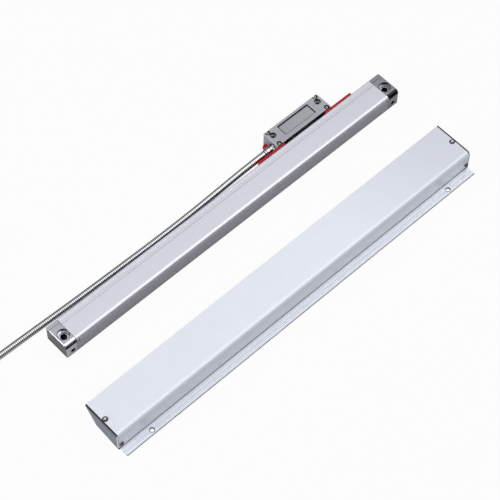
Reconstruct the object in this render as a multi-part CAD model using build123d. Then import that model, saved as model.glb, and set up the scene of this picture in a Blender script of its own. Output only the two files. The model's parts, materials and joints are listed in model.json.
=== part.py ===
"""Enclosed glass linear scale with its reading head, armoured cable and dust cover.

Frame, in millimetres: X runs along the scale, Z is up, and the origin is the middle of the
scale's flat back. The reading head stands on the +Y side of the scale and slides along X.
The dust cover lies on the -Y side, parallel to the scale.
"""
from build123d import *
from math import degrees, pi, radians, sin, tan
import os

os.makedirs("parts", exist_ok=True)

# Scale housing, an aluminium extrusion that is open along its +Y side
scale_length = 458.0
housing_width = 30.6
housing_height = 20.8
housing_wall = 2.0
slot_wall = 2.4
slot_height = 7.2
edge_radius = 4.4
corner_radius = 0.5
channel_inset = 3.0
channel_width = 2.0
channel_depth = 0.25
step_inset = 7.6
step_depth = 0.2

# Glass and the ledges that hold it
glass_width = 14.0
glass_thickness = 2.4
glass_wall_gap = 0.3
glass_end_gap = 8.0
ledge_reach = 2.5
ledge_thickness = 1.7
retainer_thickness = 1.0

# Rubber lips in the slot
lip_bead_width = 1.2
lip_bead_height = 1.2
lip_tip_width = 0.7
lip_lean = 0.5
lip_clearance = 0.4

# End caps
cap_length = 13.8
cap_edge_radius = 1.2
cap_hole_inset = 8.0
cap_hole_offset = -2.0
cap_hole_diameter = 7.0
cap_counterbore_diameter = 12.0
cap_counterbore_depth = 5.0
cap_strip_width = 4.6
cap_strip_depth = 0.5
tongue_length = 6.0
tongue_clearance = 0.1
port_diameter = 5.5
port_depth = 7.0
port_height = 6.9
gasket_thickness = 0.5
gasket_inset = 0.35
cap_screw_diameter = 2.6
cap_screw_length = 5.0
cap_screw_inset = 2.4
cap_screw_rise = 2.1
cap_screw_sink = 0.2

# Reading head
head_position = 123.5
head_length = 77.0
head_width = 22.0
head_lift = 0.5
head_gap = 3.3
head_wall = 2.2
head_floor = 2.5
head_corner_radius = 1.2
head_lid_thickness = 3.0
head_lid_edge = 0.5
head_gasket_thickness = 0.4
head_hole_inset = 6.4
head_hole_offset = 2.9
head_hole_diameter = 4.5
head_counterbore_diameter = 7.4
head_post_diameter = 8.0
head_post_rib = 5.0
lid_screw_end_inset = 4.3
lid_screw_inset = 2.2
lid_screw_seat_diameter = 4.8
lid_screw_seat_depth = 1.7
lid_screw_diameter = 2.5
lid_screw_depth = 8.0
lid_screw_head_diameter = 4.2
lid_screw_head_height = 1.3
lid_screw_head_edge = 0.3
lid_screw_slot_width = 0.6
lid_screw_slot_depth = 0.6
lid_post_size = 4.4
recess_length = 43.6
recess_width = 14.1
recess_depth = 1.4
recess_offset = 1.2
plate_margin = 0.6
plate_thickness = 0.5

# Electronics in the reading head
board_end_gap = 3.1
board_width = 14.0
board_thickness = 1.6
board_drop = 3.5
board_post_diameter = 4.0
board_post_inset = 3.0
chip_length = 7.0
chip_width = 5.0
chip_height = 1.4
chip_pitch = 14.0

# Arm that joins the reading head to the scanning carriage
blade_length = 40.0
blade_thickness = 1.2
blade_nose = 6.0
blade_depth_in_head = 9.0
blade_slot_clearance = 0.1
arm_screw_spacing = 20.0
arm_screw_diameter = 3.0
arm_screw_head_diameter = 5.0
arm_screw_head_height = 1.8
arm_boss_diameter = 7.0

# Scanning carriage, a fork that straddles the free edge of the glass
carriage_length = 56.0
fork_side_clearance = 0.6
fork_top_clearance = 1.8
fork_bottom_clearance = 2.0
fork_gap = 4.0
fork_web = 1.9
web_clearance = 3.5
fork_corner = 1.5
coupling_block_length = 6.0
coupling_block_height = 3.6
coupling_block_width = 2.0
coupling_block_root = 0.5
coupling_gap = 0.8
coupling_clearance = 0.1
coupling_spacing = 22.0
coupling_wire_diameter = 1.0

# Ball-bearing rollers of the carriage
roller_diameter = 6.0
roller_width = 2.5
roller_bore_clearance = 0.04
roller_contact_gap = 0.08
roller_side_clearance = 0.3
roller_pocket_clearance = 0.6
roller_edge = 0.2
roller_pin_diameter = 2.0
face_pin_seat = 1.2
edge_pin_seat = 2.0
face_roller_spacing = 44.0
face_roller_inset = 8.4
middle_roller_shift = 12.0
middle_roller_inset = 3.6
edge_roller_spacing = 36.0

# Optics of the carriage
optic_inset = 6.0
lens_diameter = 7.0
lens_thickness = 2.2
lens_edge = 0.8
lens_seat = 0.6
lens_seat_thickness = 0.5
lamp_diameter = 5.0
lamp_gap = 0.4
lamp_edge = 0.6
lamp_board_length = 16.0
lamp_board_width = 12.0
lamp_board_shift = 2.0
lamp_board_inset = 0.1
thin_board_thickness = 1.0
reticle_length = 12.0
reticle_width = 8.0
reticle_thickness = 1.0
reticle_gap = 0.6
sensor_board_length = 34.0
sensor_board_width = 12.0
sensor_board_inset = 0.5
sensor_chip_length = 9.0
sensor_chip_width = 6.0
sensor_chip_height = 1.6
sensor_chip_clearance = 0.2

# Transport brackets
bracket_thickness = 2.4
bracket_lift = 2.5
bracket_drop = 1.4
bracket_overlap = 9.6
bracket_reach = 28.0
bracket_corner = 1.2
bracket_foot_thickness = 4.6
bracket_foot_reach = 17.6
bracket_foot_clearance = 0.1
bracket_screw_inset = 1.9
bracket_screw_reach = 13.0
bracket_screw_drop = 2.2
bracket_screw_diameter = 2.5
bracket_screw_head_diameter = 4.2
bracket_screw_head_height = 1.2
bracket_screw_bite = 2.0

# Armoured cable
cable_diameter = 7.2
gland_row = 6.3
gland_drop = 4.2
gland_length = 4.0
gland_across_flats = 9.0
gland_neck_diameter = 6.4
ferrule_diameter = 8.4
ferrule_length = 8.6
ferrule_edge = 0.5
coil_centre_x = -345.0
coil_radius = 43.2
coil_turns_wide = 5
coil_turns_high = 2
coil_corner = 2.2
tie_width = 5.0
tie_thickness = 1.2
tie_angle = 200.0
relief_distance = 52.0

# Nine-pin plug on the cable
relief_length = 20.0
relief_diameter = 11.0
relief_wall = 0.6
hood_length = 38.0
hood_width = 33.0
hood_height = 16.0
hood_corner_radius = 6.0
hood_edge = 1.2
plug_flange_thickness = 1.0
plug_flange_height = 12.5
plug_flange_width = 31.0
plug_shell_length = 6.0
plug_shell_width = 18.0
plug_shell_height = 9.4
plug_shell_wall = 0.5
plug_shell_slant = 10.0
plug_shell_corner = 1.6
pin_diameter = 1.0
pin_length = 5.5
pin_pitch = 2.76
pin_row_gap = 2.84
jack_spacing = 25.0
jack_diameter = 3.0
jack_clearance = 0.05
jack_head_diameter = 6.2
jack_head_length = 9.0
jack_head_edge = 0.5
jack_head_gap = 0.3
jack_tip_length = 6.0

# Dust cover
cover_length = 480.0
cover_width = 46.6
cover_height = 26.2
cover_wall = 1.8
cover_edge_radius = 5.0
cover_flange = 10.7
cover_start = -256.8
cover_side = -123.7
cover_rib_count = 3
cover_rib_width = 0.6
cover_rib_pitch = 1.9
cover_rib_height = 0.15
cover_hole_inset = 36.5
cover_hole_row = 6.3
cover_hole_diameter = 4.5
end_plate_thickness = 1.5
end_plate_rise = 4.5
end_plate_slant = 14.5
end_tab_reach = 9.0
end_tab_width = 18.0
end_tab_height = 12.0
cover_screw_inset = 4.0
cover_screw_height = 8.0
cover_screw_row = 22.4
cover_screw_diameter = 3.0
cover_screw_clearance = 0.1
cover_screw_head_diameter = 5.2
cover_screw_head_height = 1.5
cover_screw_head_edge = 0.7
cover_screw_length = 6.0

# Places that follow from the sizes above
half_width = housing_width / 2
cap_plane = scale_length / 2 - cap_length
housing_end = cap_plane - gasket_thickness
middle_height = housing_height / 2
cavity_left = -half_width + housing_wall
cavity_right = half_width - slot_wall
cavity_top = housing_height - housing_wall
glass_bottom = middle_height - glass_thickness / 2
glass_top = middle_height + glass_thickness / 2
glass_edge = cavity_left + glass_wall_gap + glass_width
ledge_edge = cavity_left + ledge_reach
ledge_top = glass_top + retainer_thickness + ledge_thickness
cap_screw_height = ledge_top + cap_screw_rise

head_near = head_position - head_length / 2
head_far = head_position + head_length / 2
head_front = half_width + head_gap
head_back = head_front + head_width
head_middle = head_front + head_width / 2
head_bottom = head_lift
lid_bottom = housing_height - head_lid_thickness
body_top = lid_bottom - head_gasket_thickness
board_length = head_length - 2 * (head_hole_inset + head_post_diameter / 2 + board_end_gap)
board_height = body_top - board_drop
gland_height = body_top - gland_drop
bracket_bottom = head_bottom + bracket_lift
bracket_top = housing_height - bracket_drop
bracket_screw_height = body_top - bracket_screw_drop
bracket_foot_top = gland_height - gland_across_flats / 2 - bracket_foot_clearance

fork_left = ledge_edge + fork_side_clearance
fork_bottom = housing_wall + fork_bottom_clearance
fork_top = cavity_top - fork_top_clearance
gap_bottom = middle_height - fork_gap / 2
gap_top = middle_height + fork_gap / 2
web_edge = cavity_right - web_clearance
optic_row = glass_edge - optic_inset
lens_height = gap_top + lens_seat_thickness
lamp_bottom = lens_height + lens_thickness + lamp_gap

cover_end = cover_start + cover_length
cover_top_edge = cover_side + cover_width


def keep(name, shape):
    """Write one sub-part."""
    solids = shape.solids()
    part = solids[0] if len(solids) == 1 else Compound(children=solids)
    export_step(part, f"parts/{name}.step")


def block(x, y, z):
    """A box between a low and a high value on each axis."""
    size = Box(x[1] - x[0], y[1] - y[0], z[1] - z[0])
    return Pos((x[0] + x[1]) / 2, (y[0] + y[1]) / 2, (z[0] + z[1]) / 2) * size


def bar_x(x, y, z, diameter):
    """A round bar along X from x[0] to x[1]."""
    return Pos((x[0] + x[1]) / 2, y, z) * Rot(0, 90, 0) * Cylinder(diameter / 2, x[1] - x[0])


def bar_y(x, y, z, diameter):
    """A round bar along Y from y[0] to y[1]."""
    return Pos(x, (y[0] + y[1]) / 2, z) * Rot(90, 0, 0) * Cylinder(diameter / 2, y[1] - y[0])


def bar_z(x, y, z, diameter):
    """A round bar along Z from z[0] to z[1]."""
    return Pos(x, y, (z[0] + z[1]) / 2) * Cylinder(diameter / 2, z[1] - z[0])


def along_x(profile, start, end):
    """A profile drawn in Y and Z, drawn out from start to end along X."""
    return extrude(Plane.YZ.offset(start) * profile, end - start)


def housing_outline(inset=0.0):
    """The scale's outer section: square, with one broad round on the upper -Y edge."""
    width = housing_width - 2 * inset
    height = housing_height - 2 * inset
    face = Pos(0, middle_height) * Rectangle(width, height)
    broad = face.vertices().group_by(Axis.Y)[-1].sort_by(Axis.X)[0]
    face = fillet(broad, edge_radius - inset)
    sharp = [v for v in face.vertices() if v.Y < middle_height or v.X > 0]
    return fillet(sharp, corner_radius)


def housing_section():
    """The extrusion's section, with its cavity, slot, glass ledges and lip grooves."""
    section = housing_outline()
    cavity = Pos((cavity_left + cavity_right) / 2, (housing_wall + cavity_top) / 2) * Rectangle(
        cavity_right - cavity_left, cavity_top - housing_wall)
    section -= cavity
    slot_middle = half_width - slot_wall / 2
    section -= Pos(slot_middle, middle_height) * Rectangle(slot_wall, slot_height)
    groove_height = slot_height + 2 * lip_bead_height
    section -= Pos(slot_middle, middle_height) * Rectangle(lip_bead_width, groove_height)
    ledge_middle = cavity_left + ledge_reach / 2
    lower = glass_bottom - ledge_thickness / 2
    upper = glass_top + retainer_thickness + ledge_thickness / 2
    for height in (lower, upper):
        section += Pos(ledge_middle, height) * Rectangle(ledge_reach, ledge_thickness)
    channel_middle = half_width - channel_inset - channel_width / 2
    section -= Pos(channel_middle, housing_height) * Rectangle(channel_width, 2 * channel_depth)
    step_middle = half_width - (channel_inset + channel_width + step_inset) / 2
    step_width = step_inset - channel_inset - channel_width
    section -= Pos(step_middle, housing_height) * Rectangle(step_width, 2 * step_depth)
    return section


def lip_section(side):
    """One rubber lip: a bead in its groove and a blade that leans out towards the arm."""
    bead_inner = half_width - slot_wall / 2 - lip_bead_width / 2
    bead_outer = bead_inner + lip_bead_width
    root = slot_height / 2
    tip = blade_thickness / 2 + lip_clearance
    outline = [
        (bead_inner, root + lip_bead_height),
        (bead_outer, root + lip_bead_height),
        (bead_outer, root),
        (bead_outer + lip_lean, tip),
        (bead_outer + lip_lean - lip_tip_width, tip),
        (bead_inner, root),
    ]
    points = [(y, middle_height + side * z) for y, z in outline]
    return make_face(Polyline(*points, close=True))


def make_scale():
    housing = along_x(housing_section(), -housing_end, housing_end)
    for end in (-1, 1):
        x = end * (housing_end - cap_screw_inset)
        hole = (-half_width - 1, cavity_left + 1)
        housing -= bar_y(x, hole, cap_screw_height, cap_screw_diameter)
    keep("housing", housing)
    keep("lip_seal_upper", along_x(lip_section(1), -housing_end, housing_end))
    keep("lip_seal_lower", along_x(lip_section(-1), -housing_end, housing_end))
    glass_end = housing_end - glass_end_gap
    glass_start = cavity_left + glass_wall_gap
    keep("glass_scale", block((-glass_end, glass_end), (glass_start, glass_edge),
                              (glass_bottom, glass_top)))
    keep("glass_retainer", block((-glass_end, glass_end), (cavity_left, ledge_edge),
                                 (glass_top, glass_top + retainer_thickness)))


def make_cap(end, name):
    """A die-cast cap: body, two tongues in the housing, mounting hole and side port."""
    outer = scale_length / 2
    cap = along_x(housing_outline(), cap_plane, outer)
    rim = cap.faces().sort_by(Axis.X)[-1].edges()
    cap = fillet(rim, cap_edge_radius)
    strip = half_width - cap_strip_width
    cap -= block((cap_plane - 1, outer + 1), (strip, half_width + 1),
                 (housing_height - cap_strip_depth, housing_height + 1))
    left = cavity_left + tongue_clearance
    right = cavity_right - tongue_clearance
    tongue = (housing_end - tongue_length, cap_plane + 1)
    top = cavity_top - tongue_clearance
    tongue_height = top - ledge_top - tongue_clearance
    cap += block(tongue, (left, right), (top - tongue_height, top))
    bottom = housing_wall + tongue_clearance
    cap += block(tongue, (left, right), (bottom, bottom + tongue_height))
    hole = outer - cap_hole_inset
    cap -= bar_z(hole, cap_hole_offset, (-1, housing_height + 1), cap_hole_diameter)
    cap -= bar_z(hole, cap_hole_offset,
                 (housing_height - cap_counterbore_depth, housing_height + 1),
                 cap_counterbore_diameter)
    cap -= bar_y(hole, (-half_width - 1, -half_width + port_depth), port_height, port_diameter)
    screw = housing_end - cap_screw_inset
    cap -= bar_y(screw, (-half_width, cavity_left + cap_screw_length), cap_screw_height,
                 cap_screw_diameter)
    keep(name, cap if end > 0 else mirror(cap, Plane.YZ))


def make_end_gasket(end, name):
    """The thin gasket between the housing and a cap, cut out round the cavity."""
    ring = housing_outline(gasket_inset)
    window = Pos((cavity_left + cavity_right) / 2, middle_height) * Rectangle(
        cavity_right - cavity_left, cavity_top - housing_wall)
    ring -= window
    gasket = along_x(ring, housing_end, cap_plane)
    keep(name, gasket if end > 0 else mirror(gasket, Plane.YZ))


def make_cap_screws():
    """Grub screws that hold the caps' upper tongues in the housing."""
    screws = []
    x = housing_end - cap_screw_inset
    start = -half_width + cap_screw_sink
    for end in (-1, 1):
        screws.append(bar_y(end * x, (start, start + cap_screw_length), cap_screw_height,
                            cap_screw_diameter))
    keep("cap_screws", Compound(children=screws))


def head_outline(inset=0.0):
    """The reading head seen from above, centred on its own middle."""
    shape = RectangleRounded(head_length - 2 * inset, head_width - 2 * inset,
                             head_corner_radius)
    return Pos(head_position, head_middle) * shape


def lid_screw_places():
    rows = (head_front + lid_screw_inset, head_back - lid_screw_inset)
    reach = head_length / 2 - lid_screw_end_inset
    return [(head_position + side * reach, row) for side in (-1, 1) for row in rows]


def head_hole_places():
    row = head_middle + head_hole_offset
    reach = head_length / 2 - head_hole_inset
    return [(head_position + side * reach, row) for side in (-1, 1)]


def arm_screw_places():
    row = head_front + head_wall + blade_depth_in_head - arm_boss_diameter / 2
    return [(head_position + side * arm_screw_spacing / 2, row) for side in (-1, 1)]


def board_post_places():
    reach = board_length / 2 - board_post_inset
    return [(head_position + side * reach, head_middle) for side in (-1, 1)]


def make_head_housing():
    """The die-cast box of the reading head, open at the top."""
    body = extrude(Pos(0, 0, head_bottom) * head_outline(), body_top - head_bottom)
    cavity_floor = head_bottom + head_floor
    inside = block((head_near + head_wall, head_far - head_wall),
                   (head_front + head_wall, head_back - head_wall),
                   (cavity_floor, body_top + 1))
    posts = None
    for x, y in head_hole_places():
        post = bar_z(x, y, (head_bottom, body_top), head_post_diameter)
        posts = post if posts is None else posts + post
    for x, y in lid_screw_places():
        reach = lid_post_size / 2 + lid_screw_inset
        corner = block((x - lid_post_size / 2, x + lid_post_size / 2), (y - reach, y + reach),
                       (head_bottom, body_top))
        posts += corner
    for x, y in arm_screw_places():
        posts += bar_z(x, y, (head_bottom, middle_height - blade_thickness / 2),
                       arm_boss_diameter)
    for x, y in board_post_places():
        posts += bar_z(x, y, (head_bottom, board_height), board_post_diameter)
    for x, y in head_hole_places():
        wall = head_near + head_wall / 2 if x < head_position else head_far - head_wall / 2
        posts += block(sorted((x, wall)), (y - head_post_rib / 2, y + head_post_rib / 2),
                       (head_bottom, body_top))
    body -= inside - posts
    for x, y in head_hole_places():
        body -= bar_z(x, y, (head_bottom - 1, body_top + 1), head_hole_diameter)
    for x, y in lid_screw_places():
        body -= bar_z(x, y, (body_top - lid_screw_depth, body_top + 1), lid_screw_diameter)
    for x, y in arm_screw_places():
        body -= bar_z(x, y, (cavity_floor, middle_height), arm_screw_diameter)
    opening = blade_length / 2 + blade_slot_clearance
    half_slot = blade_thickness / 2 + blade_slot_clearance
    body -= block((head_position - opening, head_position + opening),
                  (head_front - 1, head_front + head_wall + 0.1),
                  (middle_height - half_slot, middle_height + half_slot))
    body -= bar_x((head_near - 1, head_near + head_wall + 0.1), head_front + gland_row,
                  gland_height, gland_neck_diameter)
    for end in (-1, 1):
        x = head_position + end * (head_length / 2 - bracket_overlap + bracket_screw_inset)
        body -= bar_y(x, (head_front - 1, head_front + bracket_screw_bite),
                      bracket_screw_height, bracket_screw_diameter)
    keep("head_housing", body)


def make_head_lid():
    """The lid with its long recess, corner screw seats and two through counterbores."""
    lid = extrude(Pos(0, 0, lid_bottom) * head_outline(), head_lid_thickness)
    lid = chamfer(lid.faces().sort_by(Axis.Z)[-1].edges(), head_lid_edge)
    recess_middle = head_middle + recess_offset
    lid -= block((head_position - recess_length / 2, head_position + recess_length / 2),
                 (recess_middle - recess_width / 2, recess_middle + recess_width / 2),
                 (housing_height - recess_depth, housing_height + 1))
    for x, y in head_hole_places():
        lid -= bar_z(x, y, (lid_bottom - 1, housing_height + 1), head_counterbore_diameter)
    for x, y in lid_screw_places():
        lid -= bar_z(x, y, (housing_height - lid_screw_seat_depth, housing_height + 1),
                     lid_screw_seat_diameter)
        lid -= bar_z(x, y, (lid_bottom - 1, housing_height), lid_screw_diameter)
    keep("head_lid", lid)
    half_length = recess_length / 2 - plate_margin
    half_plate = recess_width / 2 - plate_margin
    floor = housing_height - recess_depth
    keep("name_plate", block((head_position - half_length, head_position + half_length),
                             (recess_middle - half_plate, recess_middle + half_plate),
                             (floor, floor + plate_thickness)))


def make_head_gasket():
    ring = extrude(Pos(0, 0, body_top) * head_outline(gasket_inset), head_gasket_thickness)
    ring -= block((head_near + 2 * head_wall + head_post_diameter,
                   head_far - 2 * head_wall - head_post_diameter),
                  (head_front + head_wall, head_back - head_wall),
                  (body_top - 1, lid_bottom + 1))
    for x, y in head_hole_places():
        ring -= bar_z(x, y, (body_top - 1, lid_bottom + 1), head_counterbore_diameter)
    for x, y in lid_screw_places():
        ring -= bar_z(x, y, (body_top - 1, lid_bottom + 1), lid_screw_diameter)
    keep("head_gasket", ring)


def make_lid_screws():
    screws = []
    seat = housing_height - lid_screw_seat_depth
    for x, y in lid_screw_places():
        screw = bar_z(x, y, (body_top - lid_screw_depth, seat), lid_screw_diameter)
        head = bar_z(x, y, (seat, seat + lid_screw_head_height), lid_screw_head_diameter)
        head = chamfer(head.edges().sort_by(Axis.Z)[-1:], lid_screw_head_edge)
        top = seat + lid_screw_head_height
        slot = block((x - lid_screw_head_diameter, x + lid_screw_head_diameter),
                     (y - lid_screw_slot_width / 2, y + lid_screw_slot_width / 2),
                     (top - lid_screw_slot_depth, top + 1))
        screws.append(screw + head - slot)
    keep("head_lid_screws", Compound(children=screws))


def make_electronics():
    board = block((head_position - board_length / 2, head_position + board_length / 2),
                  (head_middle - board_width / 2, head_middle + board_width / 2),
                  (board_height, board_height + board_thickness))
    keep("circuit_board", board)
    top = board_height + board_thickness
    chips = []
    for step in (-1, 0, 1):
        x = head_position + step * chip_pitch
        chips.append(block((x - chip_length / 2, x + chip_length / 2),
                           (head_middle - chip_width / 2, head_middle + chip_width / 2),
                           (top, top + chip_height)))
    keep("board_chips", Compound(children=chips))


def make_arm():
    """The blade that passes between the lips, pointed at both ends to part them."""
    inner = web_edge + coupling_gap + coupling_block_width + coupling_clearance
    nose_inner = cavity_right
    nose_outer = head_front
    half = blade_length / 2
    outline = [
        (head_position - half + blade_nose, inner),
        (head_position + half - blade_nose, inner),
        (head_position + half - blade_nose, nose_inner),
        (head_position + half, (nose_inner + nose_outer) / 2),
        (head_position + half, nose_outer),
        (head_position + half, head_front + head_wall),
        (head_position + half - blade_nose, head_front + head_wall + blade_depth_in_head),
        (head_position - half + blade_nose, head_front + head_wall + blade_depth_in_head),
        (head_position - half, head_front + head_wall),
        (head_position - half, (nose_inner + nose_outer) / 2),
        (head_position - half + blade_nose, nose_inner),
    ]
    bottom = middle_height - blade_thickness / 2
    blade = extrude(Pos(0, 0, bottom) * make_face(Polyline(*outline, close=True)),
                    blade_thickness)
    for x, y in arm_screw_places():
        blade -= bar_z(x, y, (bottom - 1, bottom + blade_thickness + 1), arm_screw_diameter)
    near = head_position - coupling_spacing / 2
    blade += block((near - coupling_block_length / 2, near + coupling_block_length / 2),
                   (web_edge + coupling_gap, inner + coupling_block_root),
                   (middle_height - coupling_block_height / 2,
                    middle_height + coupling_block_height / 2))
    wire_row = web_edge + coupling_gap + coupling_block_width / 2
    blade -= bar_x((near, near + coupling_block_length), wire_row, middle_height,
                   coupling_wire_diameter)
    keep("arm_blade", blade)
    screws = []
    top = middle_height + blade_thickness / 2
    for x, y in arm_screw_places():
        screw = bar_z(x, y, (head_bottom + head_floor, top), arm_screw_diameter)
        screws.append(screw + bar_z(x, y, (top, top + arm_screw_head_height),
                                    arm_screw_head_diameter))
    keep("arm_screws", Compound(children=screws))
    far = head_position + coupling_spacing / 2
    keep("coupling_wire", bar_x((near, far), wire_row, middle_height, coupling_wire_diameter))


face_rollers = [
    (head_position - face_roller_spacing / 2, glass_edge - face_roller_inset),
    (head_position + middle_roller_shift, glass_edge - middle_roller_inset),
    (head_position + face_roller_spacing / 2, glass_edge - face_roller_inset),
]
edge_rollers = [head_position - edge_roller_spacing / 2, head_position + edge_roller_spacing / 2]
face_roller_height = glass_top + roller_contact_gap + roller_diameter / 2
edge_roller_row = glass_edge + roller_contact_gap + roller_diameter / 2


def make_carriage():
    """The fork: an upper and a lower arm joined by a web beside the glass."""
    near = head_position - carriage_length / 2
    far = head_position + carriage_length / 2
    fork = block((near, far), (fork_left, web_edge), (fork_bottom, fork_top))
    fork -= block((near - 1, far + 1), (fork_left - 1, web_edge - fork_web),
                  (gap_bottom, gap_top))
    upright = fork.edges().filter_by(Axis.Z)
    fork = chamfer(upright.group_by(Axis.Y)[0] + upright.group_by(Axis.Y)[-1], fork_corner)
    pocket = roller_diameter / 2 + roller_pocket_clearance
    half_pocket = roller_width / 2 + roller_side_clearance
    for x, y in face_rollers:
        fork -= block((x - pocket, x + pocket), (y - half_pocket, y + half_pocket),
                      (gap_top - 1, fork_top + 1))
        reach = half_pocket + face_pin_seat
        fork -= bar_y(x, (y - reach, y + reach), face_roller_height, roller_pin_diameter)
    for x in edge_rollers:
        fork -= bar_z(x, edge_roller_row, (gap_bottom - edge_pin_seat, gap_top + edge_pin_seat),
                      roller_pin_diameter)
    fork -= bar_z(head_position, optic_row, (lens_height, fork_top + 1), lens_diameter)
    fork -= bar_z(head_position, optic_row, (gap_top - 1, lens_height + 0.1),
                  lens_diameter - 2 * lens_seat)
    seat = glass_bottom - reticle_gap - reticle_thickness
    fork -= block((head_position - reticle_length / 2, head_position + reticle_length / 2),
                  (optic_row - reticle_width / 2, optic_row + reticle_width / 2),
                  (seat, gap_bottom + 1))
    half_length = sensor_chip_length / 2 + sensor_chip_clearance
    half_chip = sensor_chip_width / 2 + sensor_chip_clearance
    fork -= block((head_position - half_length, head_position + half_length),
                  (optic_row - half_chip, optic_row + half_chip),
                  (fork_bottom - 1, seat + 0.1))
    x = head_position + coupling_spacing / 2
    inner = web_edge + coupling_gap + coupling_block_width
    fork += block((x - coupling_block_length / 2, x + coupling_block_length / 2),
                  (web_edge - coupling_block_root, inner),
                  (middle_height - coupling_block_height / 2,
                   middle_height + coupling_block_height / 2))
    wire_row = web_edge + coupling_gap + coupling_block_width / 2
    fork -= bar_x((x - coupling_block_length, x), wire_row, middle_height,
                  coupling_wire_diameter)
    keep("scanning_carriage", fork)


def make_optics():
    lens = bar_z(head_position, optic_row, (lens_height, lens_height + lens_thickness),
                 lens_diameter)
    lens = chamfer(lens.edges().sort_by(Axis.Z)[-1:], lens_edge)
    keep("collimator_lens", lens)
    board_middle = head_position - lamp_board_shift
    board_row = fork_left + lamp_board_inset
    keep("lamp_board", block((board_middle - lamp_board_length / 2,
                              board_middle + lamp_board_length / 2),
                             (board_row, board_row + lamp_board_width),
                             (fork_top, fork_top + thin_board_thickness)))
    lamp = bar_z(head_position, optic_row, (lamp_bottom, fork_top), lamp_diameter)
    edge = min(lamp_edge, (fork_top - lamp_bottom) / 2)
    lamp = chamfer(lamp.edges().sort_by(Axis.Z)[:1], edge)
    keep("lamp", lamp)
    seat = glass_bottom - reticle_gap - reticle_thickness
    keep("index_grating", block((head_position - reticle_length / 2,
                                 head_position + reticle_length / 2),
                                (optic_row - reticle_width / 2, optic_row + reticle_width / 2),
                                (seat, seat + reticle_thickness)))
    board_start = fork_left + sensor_board_inset
    keep("sensor_board", block((head_position - sensor_board_length / 2,
                                head_position + sensor_board_length / 2),
                               (board_start, board_start + sensor_board_width),
                               (fork_bottom - thin_board_thickness, fork_bottom)))
    keep("sensor_chip", block((head_position - sensor_chip_length / 2,
                               head_position + sensor_chip_length / 2),
                              (optic_row - sensor_chip_width / 2,
                               optic_row + sensor_chip_width / 2),
                              (fork_bottom, fork_bottom + sensor_chip_height)))


def roller_blank():
    """A miniature ball bearing about Z: a ring with broken outer edges."""
    bore = roller_pin_diameter / 2 + roller_bore_clearance
    ring = Cylinder(roller_diameter / 2, roller_width)
    ring = chamfer(ring.edges().filter_by(GeomType.CIRCLE), roller_edge)
    return ring - Cylinder(bore, roller_width)


def make_rollers():
    pins = []
    half_pocket = roller_width / 2 + roller_side_clearance
    for number, (x, y) in enumerate(face_rollers, start=1):
        roller = Pos(x, y, face_roller_height) * Rot(90, 0, 0) * roller_blank()
        keep(f"roller_face_{number}", roller)
        reach = half_pocket + face_pin_seat
        pins.append(bar_y(x, (y - reach, y + reach), face_roller_height, roller_pin_diameter))
    reach = fork_gap / 2 + edge_pin_seat
    for number, x in enumerate(edge_rollers, start=1):
        keep(f"roller_edge_{number}", Pos(x, edge_roller_row, middle_height) * roller_blank())
        pins.append(bar_z(x, edge_roller_row, (middle_height - reach, middle_height + reach),
                          roller_pin_diameter))
    keep("roller_pins", Compound(children=pins))


def bracket(end):
    """The strip of a transport bracket, which stands in the gap beside one end of the head."""
    head_end = head_length / 2
    inner = head_end - bracket_overlap
    outer = head_end + bracket_reach
    x = sorted((head_position + end * inner, head_position + end * outer))
    strip = block(x, (head_front - bracket_thickness, head_front),
                  (bracket_bottom, bracket_top))
    return fillet(strip.edges().filter_by(Axis.Y), bracket_corner)


def make_brackets():
    """Both brackets; the one on the cable's side has a foot turned in under the gland."""
    near = bracket(-1)
    near += block((head_near - bracket_foot_thickness, head_near),
                  (head_front - bracket_thickness / 2, head_front + bracket_foot_reach),
                  (bracket_bottom, bracket_foot_top))
    far = bracket(1)
    screws = {}
    for end, shape in ((-1, near), (1, far)):
        places = (head_length / 2 - bracket_overlap + bracket_screw_inset,
                  head_length / 2 + bracket_screw_reach)
        group = []
        inner_x = head_position + end * places[0]
        outer_x = head_position + end * places[1]
        inside = head_front - bracket_thickness
        shape -= bar_y(inner_x, (inside - 1, head_front + 0.1), bracket_screw_height,
                       bracket_screw_diameter)
        shape -= bar_y(inner_x, (inside - 1, inside + bracket_screw_head_height),
                       bracket_screw_height, bracket_screw_head_diameter)
        group.append(bar_y(inner_x, (inside, inside + bracket_screw_head_height),
                           bracket_screw_height, bracket_screw_head_diameter)
                     + bar_y(inner_x, (inside, head_front + bracket_screw_bite),
                             bracket_screw_height, bracket_screw_diameter))
        shape -= bar_y(outer_x, (inside - 1, head_front + 0.1), bracket_screw_height,
                       bracket_screw_diameter)
        group.append(bar_y(outer_x, (head_front, head_front + bracket_screw_head_height),
                           bracket_screw_height, bracket_screw_head_diameter)
                     + bar_y(outer_x, (inside, head_front), bracket_screw_height,
                             bracket_screw_diameter))
        screws[end] = group
        keep("bracket_near" if end < 0 else "bracket_far", shape)
    keep("bracket_screws", Compound(children=screws[-1] + screws[1]))


# Cable route from the ferrule's mouth to the coil, then from the coil to the plug
cable_row = head_front + gland_row
cable_floor = cable_diameter / 2
ferrule_end = head_near - gland_length - ferrule_length
coil_outer = coil_radius + coil_turns_wide * cable_diameter / 2
coil_inner = coil_radius - coil_turns_wide * cable_diameter / 2
coil_entry = coil_outer - cable_diameter / 2
coil_entry_row = 30.8
coil_centre_y = coil_entry_row + coil_entry
coil_height = coil_turns_high * cable_diameter
lead_route = [
    (ferrule_end, cable_row, gland_height),
    (ferrule_end - 24.0, cable_row, gland_height),
    (ferrule_end - 57.0, 25.6, 8.9),
    (ferrule_end - 96.0, 26.2, 4.4),
    (ferrule_end - 142.0, 25.9, cable_floor),
    (-128.0, 26.5, cable_floor),
    (-188.0, 27.4, cable_floor),
    (-240.0, 29.0, cable_floor),
    (-290.0, 30.2, cable_floor),
    (coil_centre_x, coil_entry_row, cable_floor),
]
plug_row = coil_centre_y + coil_entry + 1.6
plug_height = hood_height / 2
relief_start = coil_centre_x + relief_distance
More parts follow.
